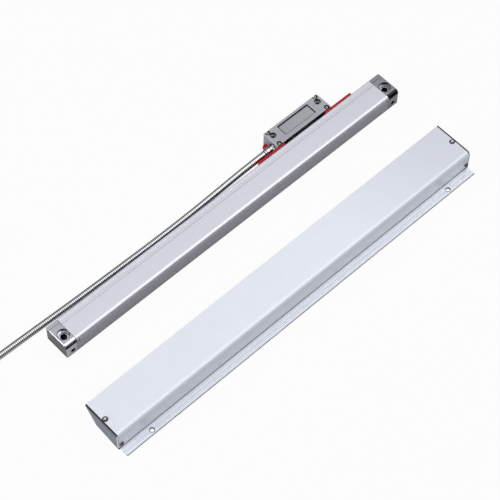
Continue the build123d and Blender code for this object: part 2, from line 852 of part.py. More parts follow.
tail_route = [
    (coil_centre_x, coil_centre_y + coil_entry, coil_height - cable_diameter / 2),
    (coil_centre_x + 18.0, coil_centre_y + coil_entry + 0.4, coil_height - cable_diameter / 2),
    (coil_centre_x + 36.0, plug_row, plug_height),
    (relief_start, plug_row, plug_height),
]


def cable_tube(route, label):
    """A round tube along straight runs with the largest arcs that the runs allow."""
    points = [Vector(*p) for p in route]
    radii = []
    for before, here, after in zip(points, points[1:], points[2:]):
        first = here - before
        second = after - here
        turn = radians(first.get_angle(second))
        radii.append(0.45 * min(first.length, second.length) / tan(turn / 2))
    print(label, "arc radii", [round(r) for r in radii])
    path = FilletPolyline(*points, radius=radii)
    start = Plane(origin=points[0], z_dir=(points[1] - points[0]))
    tube = sweep(start * Circle(cable_diameter / 2), path=path)
    plain = pi * cable_diameter ** 2 / 4 * path.length
    print(label, "length", round(path.length, 1), "volume", round(tube.volume),
          "section times length", round(plain))
    return tube


def make_cable():
    x = (head_near - gland_length, head_near)
    hexagon = RegularPolygon(gland_across_flats / 2, 6, major_radius=False)
    nut = Pos(0, cable_row, gland_height) * extrude(Plane.YZ.offset(x[0]) * hexagon,
                                                    gland_length)
    nut += bar_x((head_near, head_near + head_wall), cable_row, gland_height,
                 gland_neck_diameter)
    keep("cable_gland", nut)
    sleeve = bar_x((ferrule_end, x[0]), cable_row, gland_height, ferrule_diameter)
    sleeve = chamfer(sleeve.edges().sort_by(Axis.X)[:1], ferrule_edge)
    keep("cable_ferrule", sleeve)
    keep("cable_lead", cable_tube(lead_route, "lead"))
    keep("cable_tail", cable_tube(tail_route, "tail"))
    centre = Pos(coil_centre_x, coil_centre_y, coil_height / 2)
    outer = coil_section(0.0)
    inner = coil_section(tie_thickness)
    tie_turn = degrees(tie_width / coil_radius)
    band = revolve(outer - inner, Axis.Z, tie_turn)
    keep("cable_tie", centre * Rot(0, 0, tie_angle) * band)
    bare = Rot(0, 0, tie_turn) * revolve(outer, Axis.Z, 360 - tie_turn)
    tied = revolve(inner, Axis.Z, tie_turn)
    keep("cable_coil", centre * Rot(0, 0, tie_angle) * (bare + tied))


def coil_section(inset):
    """The coil's whole section, in X and Z, with its corners cut back like its outer turns."""
    section = Rectangle(coil_outer - coil_inner - 2 * inset, coil_height - 2 * inset)
    section = chamfer(section.vertices(), coil_corner - inset / 2)
    return Plane.XZ * Pos(coil_radius, 0) * section


def make_plug():
    """The nine-pin plug: strain relief, hood, flanged shell, pins and two thumbscrews."""
    hood_start = relief_start + relief_length
    hood_end = hood_start + hood_length
    middle = Plane(origin=(relief_start + relief_length / 2, plug_row, plug_height),
                   z_dir=(1, 0, 0))
    keep("strain_relief", middle * Cone(cable_diameter / 2 + relief_wall, relief_diameter / 2,
                                        relief_length))
    hood = block((hood_start, hood_end), (plug_row - hood_width / 2, plug_row + hood_width / 2),
                 (plug_height - hood_height / 2, plug_height + hood_height / 2))
    hood = fillet(hood.edges().filter_by(Axis.Z).group_by(Axis.X)[0], hood_corner_radius)
    hood = chamfer(hood.faces().filter_by(Axis.Z).edges(), hood_edge)
    for side in (-1, 1):
        row = plug_row + side * jack_spacing / 2
        hood -= bar_x((hood_start - 1, hood_end + 1), row, plug_height,
                      jack_diameter + 2 * jack_clearance)
    keep("plug_hood", hood)
    flange_end = hood_end + plug_flange_thickness
    flange = block((hood_end, flange_end),
                   (plug_row - plug_flange_width / 2, plug_row + plug_flange_width / 2),
                   (plug_height - plug_flange_height / 2, plug_height + plug_flange_height / 2))
    for side in (-1, 1):
        flange -= bar_x((hood_end - 1, flange_end + 1), plug_row + side * jack_spacing / 2,
                        plug_height, jack_diameter + 2 * jack_clearance)
    ring = shell_profile(0.0) - shell_profile(plug_shell_wall)
    shell = along_x(ring, flange_end, flange_end + plug_shell_length)
    keep("plug_shell", flange + shell)
    pins = []
    for count, level in ((5, 1), (4, -1)):
        for step in range(count):
            row = plug_row + (step - (count - 1) / 2) * pin_pitch
            height = plug_height + level * pin_row_gap / 2
            pins.append(bar_x((flange_end, flange_end + pin_length), row, height, pin_diameter))
    keep("plug_pins", Compound(children=pins))
    for side, name in ((-1, "thumbscrew_left"), (1, "thumbscrew_right")):
        row = plug_row + side * jack_spacing / 2
        screw = bar_x((hood_start - jack_head_length, flange_end + jack_tip_length), row,
                      plug_height, jack_diameter)
        head = bar_x((hood_start - jack_head_length, hood_start - jack_head_gap), row,
                     plug_height, jack_head_diameter)
        keep(name, screw + chamfer(head.edges().filter_by(GeomType.CIRCLE), jack_head_edge))


def shell_profile(inset):
    """The D-shaped outline of the plug's shell, drawn in Y and Z."""
    half = plug_shell_width / 2 - inset
    top = plug_shell_height / 2 - inset
    lean = 2 * top * sin(radians(plug_shell_slant))
    points = [(plug_row - half, plug_height + top), (plug_row + half, plug_height + top),
              (plug_row + half - lean, plug_height - top),
              (plug_row - half + lean, plug_height - top)]
    face = make_face(Polyline(*points, close=True))
    return fillet(face.vertices(), plug_shell_corner - inset)


def cover_profile():
    """The cover's section: top sheet, rounded edge, side wall and outward flange."""
    top = cover_height
    outline = [
        (cover_top_edge, top), (cover_side, top), (cover_side, cover_wall),
        (cover_side - cover_flange, cover_wall), (cover_side - cover_flange, 0),
        (cover_side + cover_wall, 0), (cover_side + cover_wall, top - cover_wall),
        (cover_top_edge, top - cover_wall),
    ]
    face = make_face(Polyline(*outline, close=True))
    outer = [v for v in face.vertices() if v.Y > top - 0.1 and v.X < cover_side + 0.1]
    face = fillet(outer, cover_edge_radius)
    inside = [v for v in face.vertices()
              if abs(v.Y - top + cover_wall) < 0.1 and v.X < cover_side + 2 * cover_wall]
    face = fillet(inside, cover_edge_radius - cover_wall)
    for step in range(cover_rib_count):
        row = cover_side - cover_flange + (step + 0.5) * cover_rib_pitch
        face -= Pos(row, cover_wall) * Rectangle(cover_rib_width, 2 * cover_rib_height)
    return face


def end_plate_outline():
    """An end plate: the cover's own section closed by a slanted edge on the open side."""
    outline = [
        (cover_side, 0), (cover_side, cover_height), (cover_top_edge, cover_height),
        (cover_top_edge, cover_height - cover_wall),
        (cover_top_edge - end_plate_slant, end_plate_rise),
    ]
    face = make_face(Polyline(*outline, close=True))
    corner = [v for v in face.vertices() if v.X < cover_side + 0.1 and v.Y > 1]
    return fillet(corner, cover_edge_radius)


def make_cover():
    inner_start = cover_start + end_plate_thickness
    inner_end = cover_end - end_plate_thickness
    shell = along_x(cover_profile(), inner_start, inner_end)
    hole_row = cover_side - cover_hole_row
    for x in (cover_start + cover_hole_inset, cover_end - cover_hole_inset):
        shell -= bar_z(x, hole_row, (-1, cover_wall + 1), cover_hole_diameter)
    hole = cover_screw_diameter + 2 * cover_screw_clearance
    screw_row = cover_side + cover_screw_row
    screws = []
    for end, name in ((-1, "cover_end_near"), (1, "cover_end_far")):
        edge = cover_start if end < 0 else cover_end
        x = edge - end * cover_screw_inset
        shell -= bar_z(x, screw_row, (cover_height - cover_wall - 1, cover_height + 1), hole)
        shell -= bar_y(x, (cover_side - 1, cover_side + cover_wall + 1), cover_screw_height,
                       hole)
        plate_x = sorted((edge, edge - end * end_plate_thickness))
        plate = along_x(end_plate_outline(), plate_x[0], plate_x[1])
        tab_x = sorted((edge - end * end_plate_thickness / 2, edge - end * end_tab_reach))
        tab_top = cover_height - cover_wall
        tab_bottom = tab_top - end_plate_thickness
        plate += block(tab_x, (screw_row - end_tab_width / 2, screw_row + end_tab_width / 2),
                       (tab_bottom, tab_top))
        wall_row = cover_side + cover_wall
        tab_row = wall_row + end_plate_thickness
        plate += block(tab_x, (wall_row, tab_row), (cover_screw_height - end_tab_height / 2,
                                                    cover_screw_height + end_tab_height / 2))
        plate -= bar_z(x, screw_row, (tab_bottom - 1, tab_top + 1), cover_screw_diameter)
        plate -= bar_y(x, (wall_row - 1, tab_row + 1), cover_screw_height,
                       cover_screw_diameter)
        keep(name, plate)
        top_screw = bar_z(x, screw_row, (cover_height - cover_screw_length, cover_height),
                          cover_screw_diameter)
        head = bar_z(x, screw_row, (cover_height, cover_height + cover_screw_head_height),
                     cover_screw_head_diameter)
        head = chamfer(head.edges().sort_by(Axis.Z)[-1:], cover_screw_head_edge)
        screws.append(top_screw + head)
        side_screw = bar_y(x, (cover_side, cover_side + cover_screw_length),
                           cover_screw_height, cover_screw_diameter)
        head = bar_y(x, (cover_side - cover_screw_head_height, cover_side),
                     cover_screw_height, cover_screw_head_diameter)
        head = chamfer(head.edges().sort_by(Axis.Y)[:1], cover_screw_head_edge)
        screws.append(side_screw + head)
    keep("cover_shell", shell)
    keep("cover_screws", Compound(children=screws))


make_scale()
make_cap(-1, "end_cap_near")
make_cap(1, "end_cap_far")
make_end_gasket(-1, "end_gasket_near")
make_end_gasket(1, "end_gasket_far")
make_cap_screws()
make_head_housing()
make_head_lid()
make_head_gasket()
make_lid_screws()
make_electronics()
make_arm()
make_carriage()
make_optics()
make_rollers()
make_brackets()
make_cable()
make_plug()
make_cover()
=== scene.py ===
"""Looks of the enclosed linear scale: its finishes, its armoured cable and its small hardware.

The scene is in metres, in the part's own frame: X along the scale, Z up, and the origin in the
middle of the scale's flat back. The reading head is on the +Y side, the dust cover on -Y. Places
and sizes of pieces are written in mm; the camera, the stage and a finish's widths are in metres.
"""
import bpy
import bmesh
import json
import numpy as np
from math import atan2, cos, degrees, exp, pi, radians, sin, tau
from mathutils import Matrix, Vector


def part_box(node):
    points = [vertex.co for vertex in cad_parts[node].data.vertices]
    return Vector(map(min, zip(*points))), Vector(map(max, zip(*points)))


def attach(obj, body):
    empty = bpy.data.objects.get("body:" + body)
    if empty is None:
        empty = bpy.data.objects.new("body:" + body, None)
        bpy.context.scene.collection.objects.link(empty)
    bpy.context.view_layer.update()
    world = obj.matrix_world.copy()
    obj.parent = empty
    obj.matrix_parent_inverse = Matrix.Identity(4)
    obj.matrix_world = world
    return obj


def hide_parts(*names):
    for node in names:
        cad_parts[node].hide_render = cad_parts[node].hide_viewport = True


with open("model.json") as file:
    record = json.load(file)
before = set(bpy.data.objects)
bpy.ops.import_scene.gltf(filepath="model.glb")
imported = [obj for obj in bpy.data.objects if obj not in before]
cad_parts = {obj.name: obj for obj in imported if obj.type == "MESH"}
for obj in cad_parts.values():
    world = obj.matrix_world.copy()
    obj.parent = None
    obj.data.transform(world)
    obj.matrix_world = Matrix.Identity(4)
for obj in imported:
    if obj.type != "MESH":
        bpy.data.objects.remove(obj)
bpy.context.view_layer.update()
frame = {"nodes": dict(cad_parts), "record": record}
nodes = frame["nodes"]
mm = 0.001
scene = bpy.context.scene
scene.view_settings.view_transform = "Standard"


# Camera, from the edges of the object in the photograph

camera_place = Vector((-0.719900, -0.773948, 1.617223))
camera_right = Vector((0.73064788, -0.68265755, 0.01150457))
camera_up = Vector((0.57370468, 0.62299676, 0.53173112))
camera_lens = 136.107
sensor_width = 36.0


def make_camera():
    data = bpy.data.cameras.new("camera")
    data.lens = camera_lens
    data.sensor_width = sensor_width
    data.clip_start = 0.1
    data.clip_end = 20.0
    camera = bpy.data.objects.new("camera", data)
    back = camera_right.cross(camera_up).normalized()
    up = back.cross(camera_right).normalized()
    turn = Matrix((camera_right.normalized(), up, back)).transposed()
    camera.matrix_world = Matrix.Translation(camera_place) @ turn.to_4x4()
    scene.collection.objects.link(camera)
    scene.camera = camera


# Node tools

def add(tree, kind, **settings):
    """A node with its properties and, where a socket has that name, its socket values."""
    made = tree.nodes.new(kind)
    for key, value in settings.items():
        name = key.replace("_", " ").title()
        if name in made.inputs:
            made.inputs[name].default_value = value
        else:
            setattr(made, key, value)
    return made


def join(tree, source, target):
    tree.links.new(source, target)


def math_node(tree, operation, first, second=None, clamp=False):
    """A math node whose inputs are sockets or numbers; returns its output."""
    made = add(tree, "ShaderNodeMath", operation=operation, use_clamp=clamp)
    for place, value in enumerate((first, second)):
        if value is None:
            continue
        if isinstance(value, (int, float)):
            made.inputs[place].default_value = value
        else:
            join(tree, value, made.inputs[place])
    return made.outputs[0]


def product(tree, *values):
    """The product of masks and numbers, of which the first is a mask."""
    result = values[0]
    for value in values[1:]:
        result = math_node(tree, "MULTIPLY", result, value)
    return result


def spread(tree, value, low, high, start=0.0, end=1.0):
    """A value that runs from start to end, made to run from low to high."""
    made = add(tree, "ShaderNodeMapRange")
    join(tree, value, made.inputs["Value"])
    made.inputs["From Min"].default_value = start
    made.inputs["From Max"].default_value = end
    made.inputs["To Min"].default_value = low
    made.inputs["To Max"].default_value = high
    return made.outputs["Result"]


def blend_colours(tree, factor, first, second):
    """The first colour where the factor is 0 and the second where it is 1."""
    made = add(tree, "ShaderNodeMix", data_type="RGBA")
    join(tree, factor, made.inputs["Factor"])
    for socket, value in ((made.inputs[6], first), (made.inputs[7], second)):
        if isinstance(value, tuple):
            socket.default_value = value
        else:
            join(tree, value, socket)
    return made.outputs[2]


def new_group(name, inputs, outputs):
    """An empty shader node group with named number inputs and outputs."""
    group = bpy.data.node_groups.new(name, "ShaderNodeTree")
    for label, value in inputs:
        socket = group.interface.new_socket(label, in_out="INPUT", socket_type="NodeSocketFloat")
        socket.default_value = value
    for label in outputs:
        kind = "NodeSocketVector" if label == "Normal" else "NodeSocketFloat"
        group.interface.new_socket(label, in_out="OUTPUT", socket_type=kind)
    start = group.nodes.new("NodeGroupInput")
    end = group.nodes.new("NodeGroupOutput")
    return group, start.outputs, end.inputs


def make_grain_group():
    """Fine isotropic grain, as on a blasted casting or moulded plastic."""
    group, given, result = new_group("grain", [("Scale", 1500.0)], ["Mask", "Height"])
    place = add(group, "ShaderNodeTexCoord")
    fine = add(group, "ShaderNodeTexNoise", detail=3.0, roughness=0.6)
    join(group, place.outputs["Object"], fine.inputs["Vector"])
    join(group, given["Scale"], fine.inputs["Scale"])
    join(group, spread(group, fine.outputs[0], 0.0, 1.0, start=0.3, end=0.7), result["Mask"])
    join(group, fine.outputs[0], result["Height"])
    return group


def make_lines_group():
    """Fine lines along X, as a die leaves on an extrusion."""
    group, given, result = new_group(
        "die_lines", [("Across", 1800.0), ("Along", 6.0)], ["Mask", "Height"])
    place = add(group, "ShaderNodeTexCoord")
    stretch = add(group, "ShaderNodeVectorMath", operation="MULTIPLY")
    size = add(group, "ShaderNodeCombineXYZ")
    join(group, given["Along"], size.inputs[0])
    join(group, given["Across"], size.inputs[1])
    join(group, given["Across"], size.inputs[2])
    join(group, place.outputs["Object"], stretch.inputs[0])
    join(group, size.outputs[0], stretch.inputs[1])
    lines = add(group, "ShaderNodeTexNoise", detail=4.0, roughness=0.65, scale=1.0)
    join(group, stretch.outputs[0], lines.inputs["Vector"])
    join(group, spread(group, lines.outputs[0], 0.0, 1.0, start=0.3, end=0.7), result["Mask"])
    join(group, lines.outputs[0], result["Height"])
    return group


def make_cloud_group():
    """Slow changes of tone over a surface, as from handling and uneven finishing."""
    group, given, result = new_group("clouds", [("Scale", 40.0)], ["Mask"])
    place = add(group, "ShaderNodeTexCoord")
    slow = add(group, "ShaderNodeTexNoise", detail=2.0, roughness=0.5)
    join(group, place.outputs["Object"], slow.inputs["Vector"])
    join(group, given["Scale"], slow.inputs["Scale"])
    join(group, spread(group, slow.outputs[0], 0.0, 1.0, start=0.35, end=0.65), result["Mask"])
    return group


def make_edge_group():
    """A mask of the outer edges, where a finish's edge colour is laid, and a softened normal. On
    most finishes that edge colour is a painted highlight; on the circuit boards it is their own
    bare edge, and on the cover's end plates a painted dark outline of shade.
    """
    group, given, result = new_group("edges", [("Width", 0.0003)], ["Mask", "Normal"])
    soft = add(group, "ShaderNodeBevel", samples=6)
    join(group, given["Width"], soft.inputs["Radius"])
    true = add(group, "ShaderNodeNewGeometry")
    same = add(group, "ShaderNodeVectorMath", operation="DOT_PRODUCT")
    join(group, soft.outputs[0], same.inputs[0])
    join(group, true.outputs["True Normal"], same.inputs[1])
    bent = math_node(group, "SUBTRACT", 1.0, same.outputs["Value"])
    painted_edge_light = spread(group, bent, 0.0, 1.0, start=0.01, end=0.12)
    join(group, painted_edge_light, result["Mask"])
    join(group, soft.outputs[0], result["Normal"])
    return group


grain = make_grain_group()
die_lines = make_lines_group()
clouds = make_cloud_group()
edges = make_edge_group()


def place_group(tree, group, **values):
    """The outputs of a group placed in a material with its own values."""
    made = add(tree, "ShaderNodeGroup")
    made.node_tree = group
    for key, value in values.items():
        made.inputs[key.title()].default_value = value
    return made.outputs


def grey(value, tint=(1.0, 1.0, 1.0)):
    return (value * tint[0], value * tint[1], value * tint[2], 1.0)


materials = {}
# how much of a finish's change of tone is its fine texture; the rest is slow clouds
fine_share = 0.6


def finish(name, dark, light, rough, metal=0.0, texture="grain", fine=1500.0, bump=0.1,
           depth=0.00002, edge=None, edge_width=0.0003, tone=40.0, **settings):
    """One finish: two tones over a fine texture and slow clouds, with its own edge colour, mostly
    a painted highlight.

    rough is its lowest and highest roughness, edge the colour painted on its outer edges, or None.
    """
    made = bpy.data.materials.new(name)
    made.use_nodes = True
    tree = made.node_tree
    shader = tree.nodes["Principled BSDF"]
    shader.inputs["Metallic"].default_value = metal
    for key, value in settings.items():
        shader.inputs[key.replace("_", " ").title().replace("Ior", "IOR")].default_value = value
    if texture == "lines":
        surface = place_group(tree, die_lines, across=fine)
    else:
        surface = place_group(tree, grain, scale=fine)
    slow = place_group(tree, clouds, scale=tone)["Mask"]
    mixed = math_node(tree, "ADD", product(tree, surface["Mask"], fine_share),
                      product(tree, slow, 1.0 - fine_share), clamp=True)
    colour = blend_colours(tree, mixed, dark, light)
    edge_mask_and_normal = place_group(tree, edges, width=edge_width)
    if edge is not None:
        colour = blend_colours(tree, edge_mask_and_normal["Mask"], colour, edge)
    join(tree, colour, shader.inputs["Base Color"])
    join(tree, spread(tree, mixed, rough[0], rough[1]), shader.inputs["Roughness"])
    relief = add(tree, "ShaderNodeBump", strength=bump, distance=depth)
    join(tree, surface["Height"], relief.inputs["Height"])
    join(tree, edge_mask_and_normal["Normal"], relief.inputs["Normal"])
    join(tree, relief.outputs[0], shader.inputs["Normal"])
    materials[name] = made
    return made


lilac = (0.985, 0.985, 1.06)
cold = (0.96, 0.99, 1.06)
warm = (1.02, 1.0, 0.96)
blue = (0.9, 0.96, 1.14)


# Masks by place, in mm on the object, and what is laid over a finish with them, mostly painted
# light and shade

def past(tree, axis, start, end):
    """A mask that grows from 0 to 1 between two places along an axis."""
    place = add(tree, "ShaderNodeTexCoord")
    parts = add(tree, "ShaderNodeSeparateXYZ")
    join(tree, place.outputs["Object"], parts.inputs[0])
    return spread(tree, parts.outputs["XYZ".index(axis)], 0.0, 1.0, start * mm, end * mm)


def between(tree, axis, start, end, soft=0.15):
    """A mask that is 1 between two places along an axis and fades over soft outside them."""
    return product(tree, past(tree, axis, start - soft, start), past(tree, axis, end + soft, end))


def near_line(tree, middle, start, end):
    """A mask round an upright line through x, y that grows from 0 to 1 between two radii."""
    place = add(tree, "ShaderNodeTexCoord")
    flat = add(tree, "ShaderNodeVectorMath", operation="MULTIPLY")
    flat.inputs[1].default_value = (1.0, 1.0, 0.0)
    join(tree, place.outputs["Object"], flat.inputs[0])
    away = add(tree, "ShaderNodeVectorMath", operation="DISTANCE")
    away.inputs[1].default_value = (middle[0] * mm, middle[1] * mm, 0.0)
    join(tree, flat.outputs[0], away.inputs[0])
    return spread(tree, away.outputs["Value"], 0.0, 1.0, start * mm, end * mm)


def lay_over(made, mask, colour):
    """Lays a colour over a finish where the mask is 1."""
    tree = made.node_tree
    shader = tree.nodes["Principled BSDF"]
    before = shader.inputs["Base Color"].links[0].from_socket
    join(tree, blend_colours(tree, mask, before, colour), shader.inputs["Base Color"])


def lay_past(made, rows):
    """Lays colours over a finish past places: each row is an axis, a start, an end, a colour."""
    for axis, start, end, colour in rows:
        lay_over(made, past(made.node_tree, axis, start, end), colour)


def corners_of(node):
    """The low and the high corner of a CAD node."""
    return [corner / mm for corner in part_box(node)]


head_side = 18.6
cover_side = -123.7
cover_groove_rows = [-133.45, -131.55, -129.65]
cover_screw_spots = [(-252.8, -101.3), (219.2, -101.3)]
cover_hole_spots = [(-220.3, -130.0), (186.7, -130.0)]
cap_hole_spots = [(221.0, -2.0), (-221.0, -2.0)]
lid_screw_spots = [(89.3, 20.8), (157.7, 20.8), (89.3, 38.4), (157.7, 38.4)]


# Finishes

housing_painted_light = [(40.0, 220.0, 0.14, 0.3), (-40.0, -220.0, 0.22, 0.85)]
housing_round_y = (-15.0, -12.6)
housing_round_z = (16.8, 17.6)


def make_housing_finish():
    """Drawn aluminium, with painted light: paler at its near end, a painted highlight on its round
    edge, and painted shade at its far end and on its side.

    housing_painted_light gives for each end where it starts and is full, its share and its grey.
    """
    made = finish("anodised_aluminium", grey(0.645, lilac), grey(0.67, lilac), (0.49, 0.52),
                  metal=1.0, texture="lines", bump=0.02, edge_width=0.0009)
    tree = made.node_tree
    # painted light and shade along X: the near end paler, the far end darker
    for start, end, share, tone in housing_painted_light:
        lay_over(made, product(tree, past(tree, "X", start, end), share), grey(tone, lilac))
    # a painted highlight along the round edge
    round_painted_light = product(tree, between(tree, "Y", *housing_round_y, soft=0.6),
                         past(tree, "Z", *housing_round_z))
    lay_over(made, round_painted_light, grey(0.8, lilac))
    # painted shade on the -Y side
    lay_past(made, [("Y", -15.1, -15.25, grey(0.5, lilac))])


def make_screw_finish():
    """Bright steel with painted highlights on its edges; the cover's top screws carry painted
    shade round a painted highlight in their middle, and its wall screws painted shade.
    """
    made = finish("steel_screw", grey(0.3), grey(0.38), (0.12, 0.2), metal=1.0,
                  edge=grey(0.85, warm), edge_width=0.0002)
    tree = made.node_tree
    for spot in cover_screw_spots:
        # painted shade over the screw head round its middle
        ring = product(tree, near_line(tree, spot, 1.2, 1.45), near_line(tree, spot, 4.0, 3.8))
        lay_over(made, ring, grey(0.11))
        # a painted highlight in the middle of the screw head
        lay_over(made, near_line(tree, spot, 1.0, 0.8), grey(0.85))
    # painted shade on the cover's wall screws
    lay_past(made, [("Y", -123.0, -123.6, grey(0.12))])


def make_metal_finishes():
    """The bare metals of the scale, its inside, its screws and its plug."""
    make_housing_finish()
    # The edge colours of these finishes are painted highlights on their outer edges.
    finish("carriage_aluminium", grey(0.09), grey(0.12), (0.4, 0.5), metal=0.8,
           edge=grey(0.35), bump=0.1)
    make_screw_finish()
    finish("dark_screw", grey(0.03), grey(0.05), (0.35, 0.5), metal=0.6, edge=grey(0.16),
           edge_width=0.0002)
    finish("spring_steel", grey(0.45), grey(0.52), (0.22, 0.32), metal=1.0, texture="lines",
           edge=grey(0.7))
    finish("bearing_steel", grey(0.58), grey(0.64), (0.12, 0.2), metal=1.0, edge=grey(0.8),
           edge_width=0.00015)
    finish("chrome_plate", grey(0.52), grey(0.58), (0.07, 0.13), metal=1.0, fine=500.0,
           edge=grey(0.9), bump=0.05)
    # a darker copy of chrome plate, as painted shade, for the gland nut
    finish("shaded_chrome", grey(0.2, warm), grey(0.28, warm), (0.08, 0.16), metal=1.0, fine=500.0,
           edge=grey(0.85, warm), bump=0.05, edge_width=0.0002)
    finish("gold_contact", (0.78, 0.55, 0.20, 1.0), (0.88, 0.66, 0.28, 1.0), (0.18, 0.28),
           metal=1.0, edge=(0.95, 0.8, 0.45, 1.0), edge_width=0.0001)


def make_painted_finishes():
    """The cover's end plates, painted lighter in their middle, with painted shade along top and
    bottom, a painted highlight on the rim and a painted dark outline of shade on their edges; and
    the red paint, with a painted highlight on its edges.
    """
    plate = finish("cover_end_casting", grey(0.19, blue), grey(0.24, blue), (0.42, 0.55),
                   metal=0.3, fine=1300.0, edge=grey(0.02), bump=0.2, edge_width=0.0008)
    tree = plate.node_tree
    # painted light: the middle of the end plate paler
    middle = product(tree, between(tree, "Z", 7.0, 17.0, soft=6.0), 0.7)
    lay_over(plate, middle, grey(0.36, blue))
    # a painted highlight on the rim, and painted shade along the top and the bottom
    lay_past(plate, [("Y", -121.4, -122.2, grey(0.75, cold)), ("Z", 24.6, 24.9, grey(0.012)),
                     ("Z", 2.4, 1.6, grey(0.03))])
    # red_paint's edge colour is a painted highlight
    finish("red_paint", (0.36, 0.004, 0.012, 1.0), (0.46, 0.008, 0.018, 1.0), (0.32, 0.45),
           fine=700.0, edge=(0.5, 0.03, 0.04, 1.0), bump=0.2, specular_ior_level=0.25)


def make_soft_finishes():
    """Rubber, plastic and the circuit boards."""
    finish("black_rubber", grey(0.012), grey(0.022), (0.6, 0.8), fine=1000.0, bump=0.3)
    finish("grey_gasket", grey(0.16, lilac), grey(0.22, lilac), (0.6, 0.8), fine=1000.0, bump=0.3)
    # black_plastic's edge colour is a painted highlight; the circuit board's edge colour is its
    # own bare edge
    finish("black_plastic", grey(0.018), grey(0.03), (0.42, 0.6), fine=1400.0,
           edge=grey(0.06), bump=0.35)
    finish("circuit_board", (0.008, 0.10, 0.04, 1.0), (0.015, 0.16, 0.07, 1.0), (0.28, 0.4),
           fine=260.0, edge=(0.30, 0.32, 0.18, 1.0), bump=0.1, coat_weight=0.3)


ruling_scale = 800.0


def make_glass_finish(name, tint, ruled=False):
    """Clear glass; the scale's and the index grating's carry fine ruled chrome lines."""
    made = bpy.data.materials.new(name)
    made.use_nodes = True
    tree = made.node_tree
    shader = tree.nodes["Principled BSDF"]
    shader.inputs["IOR"].default_value = 1.5
    shader.inputs["Transmission Weight"].default_value = 0.85
    slow = place_group(tree, clouds, scale=25.0)["Mask"]
    colour = blend_colours(tree, slow, tint, grey(0.95))
    if ruled:
        place = add(tree, "ShaderNodeTexCoord")
        rule = add(tree, "ShaderNodeTexWave", wave_type="BANDS", bands_direction="X",
                   wave_profile="SIN")
        rule.inputs["Scale"].default_value = ruling_scale
        join(tree, place.outputs["Object"], rule.inputs["Vector"])
        lines = spread(tree, rule.outputs["Fac"], 0.0, 1.0, start=0.45, end=0.55)
        colour = blend_colours(tree, lines, colour, grey(0.18))
    join(tree, colour, shader.inputs["Base Color"])
    join(tree, spread(tree, slow, 0.02, 0.07), shader.inputs["Roughness"])
    materials[name] = made


groove_shade_fade = (60.0, -120.0)
faint_groove_shade = 0.5


def make_armour_finish():
    """Interlocked steel strip: bright crowns, and painted shade in the grooves by the hose's own
    attribute.

    The painted shade is only faint_groove_shade as dark where the hose leaves the head.
    """
    made = finish("armour_steel", grey(0.72), grey(0.8), (0.16, 0.24), metal=1.0, fine=900.0,
                  bump=0.05)
    tree = made.node_tree
    groove = add(tree, "ShaderNodeAttribute", attribute_name="groove")
    groove_shade_strength = product(tree, past(tree, "X", *groove_shade_fade), 1.0 - faint_groove_shade)
    groove_shade_strength = math_node(tree, "ADD", groove_shade_strength, faint_groove_shade)
    # painted shade in the hose's grooves
    lay_over(made, product(tree, groove.outputs["Fac"], groove_shade_strength), grey(0.1))


def make_head_finishes():
    """The head's castings, with painted highlights on their edges and painted shade: black on the
    side towards the scale, dark in the lid's recess and its screw seats.
    """
    for name in ("head_casting", "lid_casting"):
        made = finish(name, grey(0.34, lilac), grey(0.42, lilac), (0.42, 0.55), metal=0.25,
                      fine=1200.0, edge=grey(0.78, lilac), bump=0.25, edge_width=0.0005)
        # painted shade: the side towards the scale black
        lay_past(made, [("Y", head_side + 0.35, head_side + 0.15, grey(0.006))])
    tree = made.node_tree
    low, high = corners_of("head_lid")
    # painted shade in the lid's recess
    recess_shade_rows = [("Z", high.z - 0.1, high.z - 0.3), ("X", low.x + 0.3, low.x + 0.5),
             ("X", high.x - 0.3, high.x - 0.5), ("Y", low.y + 0.3, low.y + 0.5),
             ("Y", high.y - 0.3, high.y - 0.5)]
    lay_over(made, product(tree, *[past(tree, *row) for row in recess_shade_rows]), grey(0.02))
    # painted shade in the lid's screw seats
    upper = past(tree, "Z", high.z - 0.5, high.z - 0.3)
    for spot in lid_screw_spots:
        lay_over(made, product(tree, near_line(tree, spot, 2.95, 2.75), upper), grey(0.02))


def make_plate_finish():
    """A brushed plate with no marks, with painted shade round its edges that is widest along its
    far side.
    """
    made = finish("bare_plate", grey(0.33, lilac), grey(0.41, lilac), (0.38, 0.5), metal=0.7,
                  fine=1100.0, bump=0.15)
    low, high = corners_of("name_plate")
    # painted shade round the plate's edges
    lay_past(made, [("Y", high.y - 1.1, high.y - 0.9, grey(0.012)),
                    ("Y", low.y + 0.5, low.y + 0.3, grey(0.12)),
                    ("X", low.x + 0.8, low.x + 0.6, grey(0.03)),
                    ("X", high.x - 1.0, high.x - 0.7, grey(0.08))])


cover_far_shade_share = 0.34
cover_far_shade_tint = (0.95, 0.97, 1.16)
groove_half = 0.3


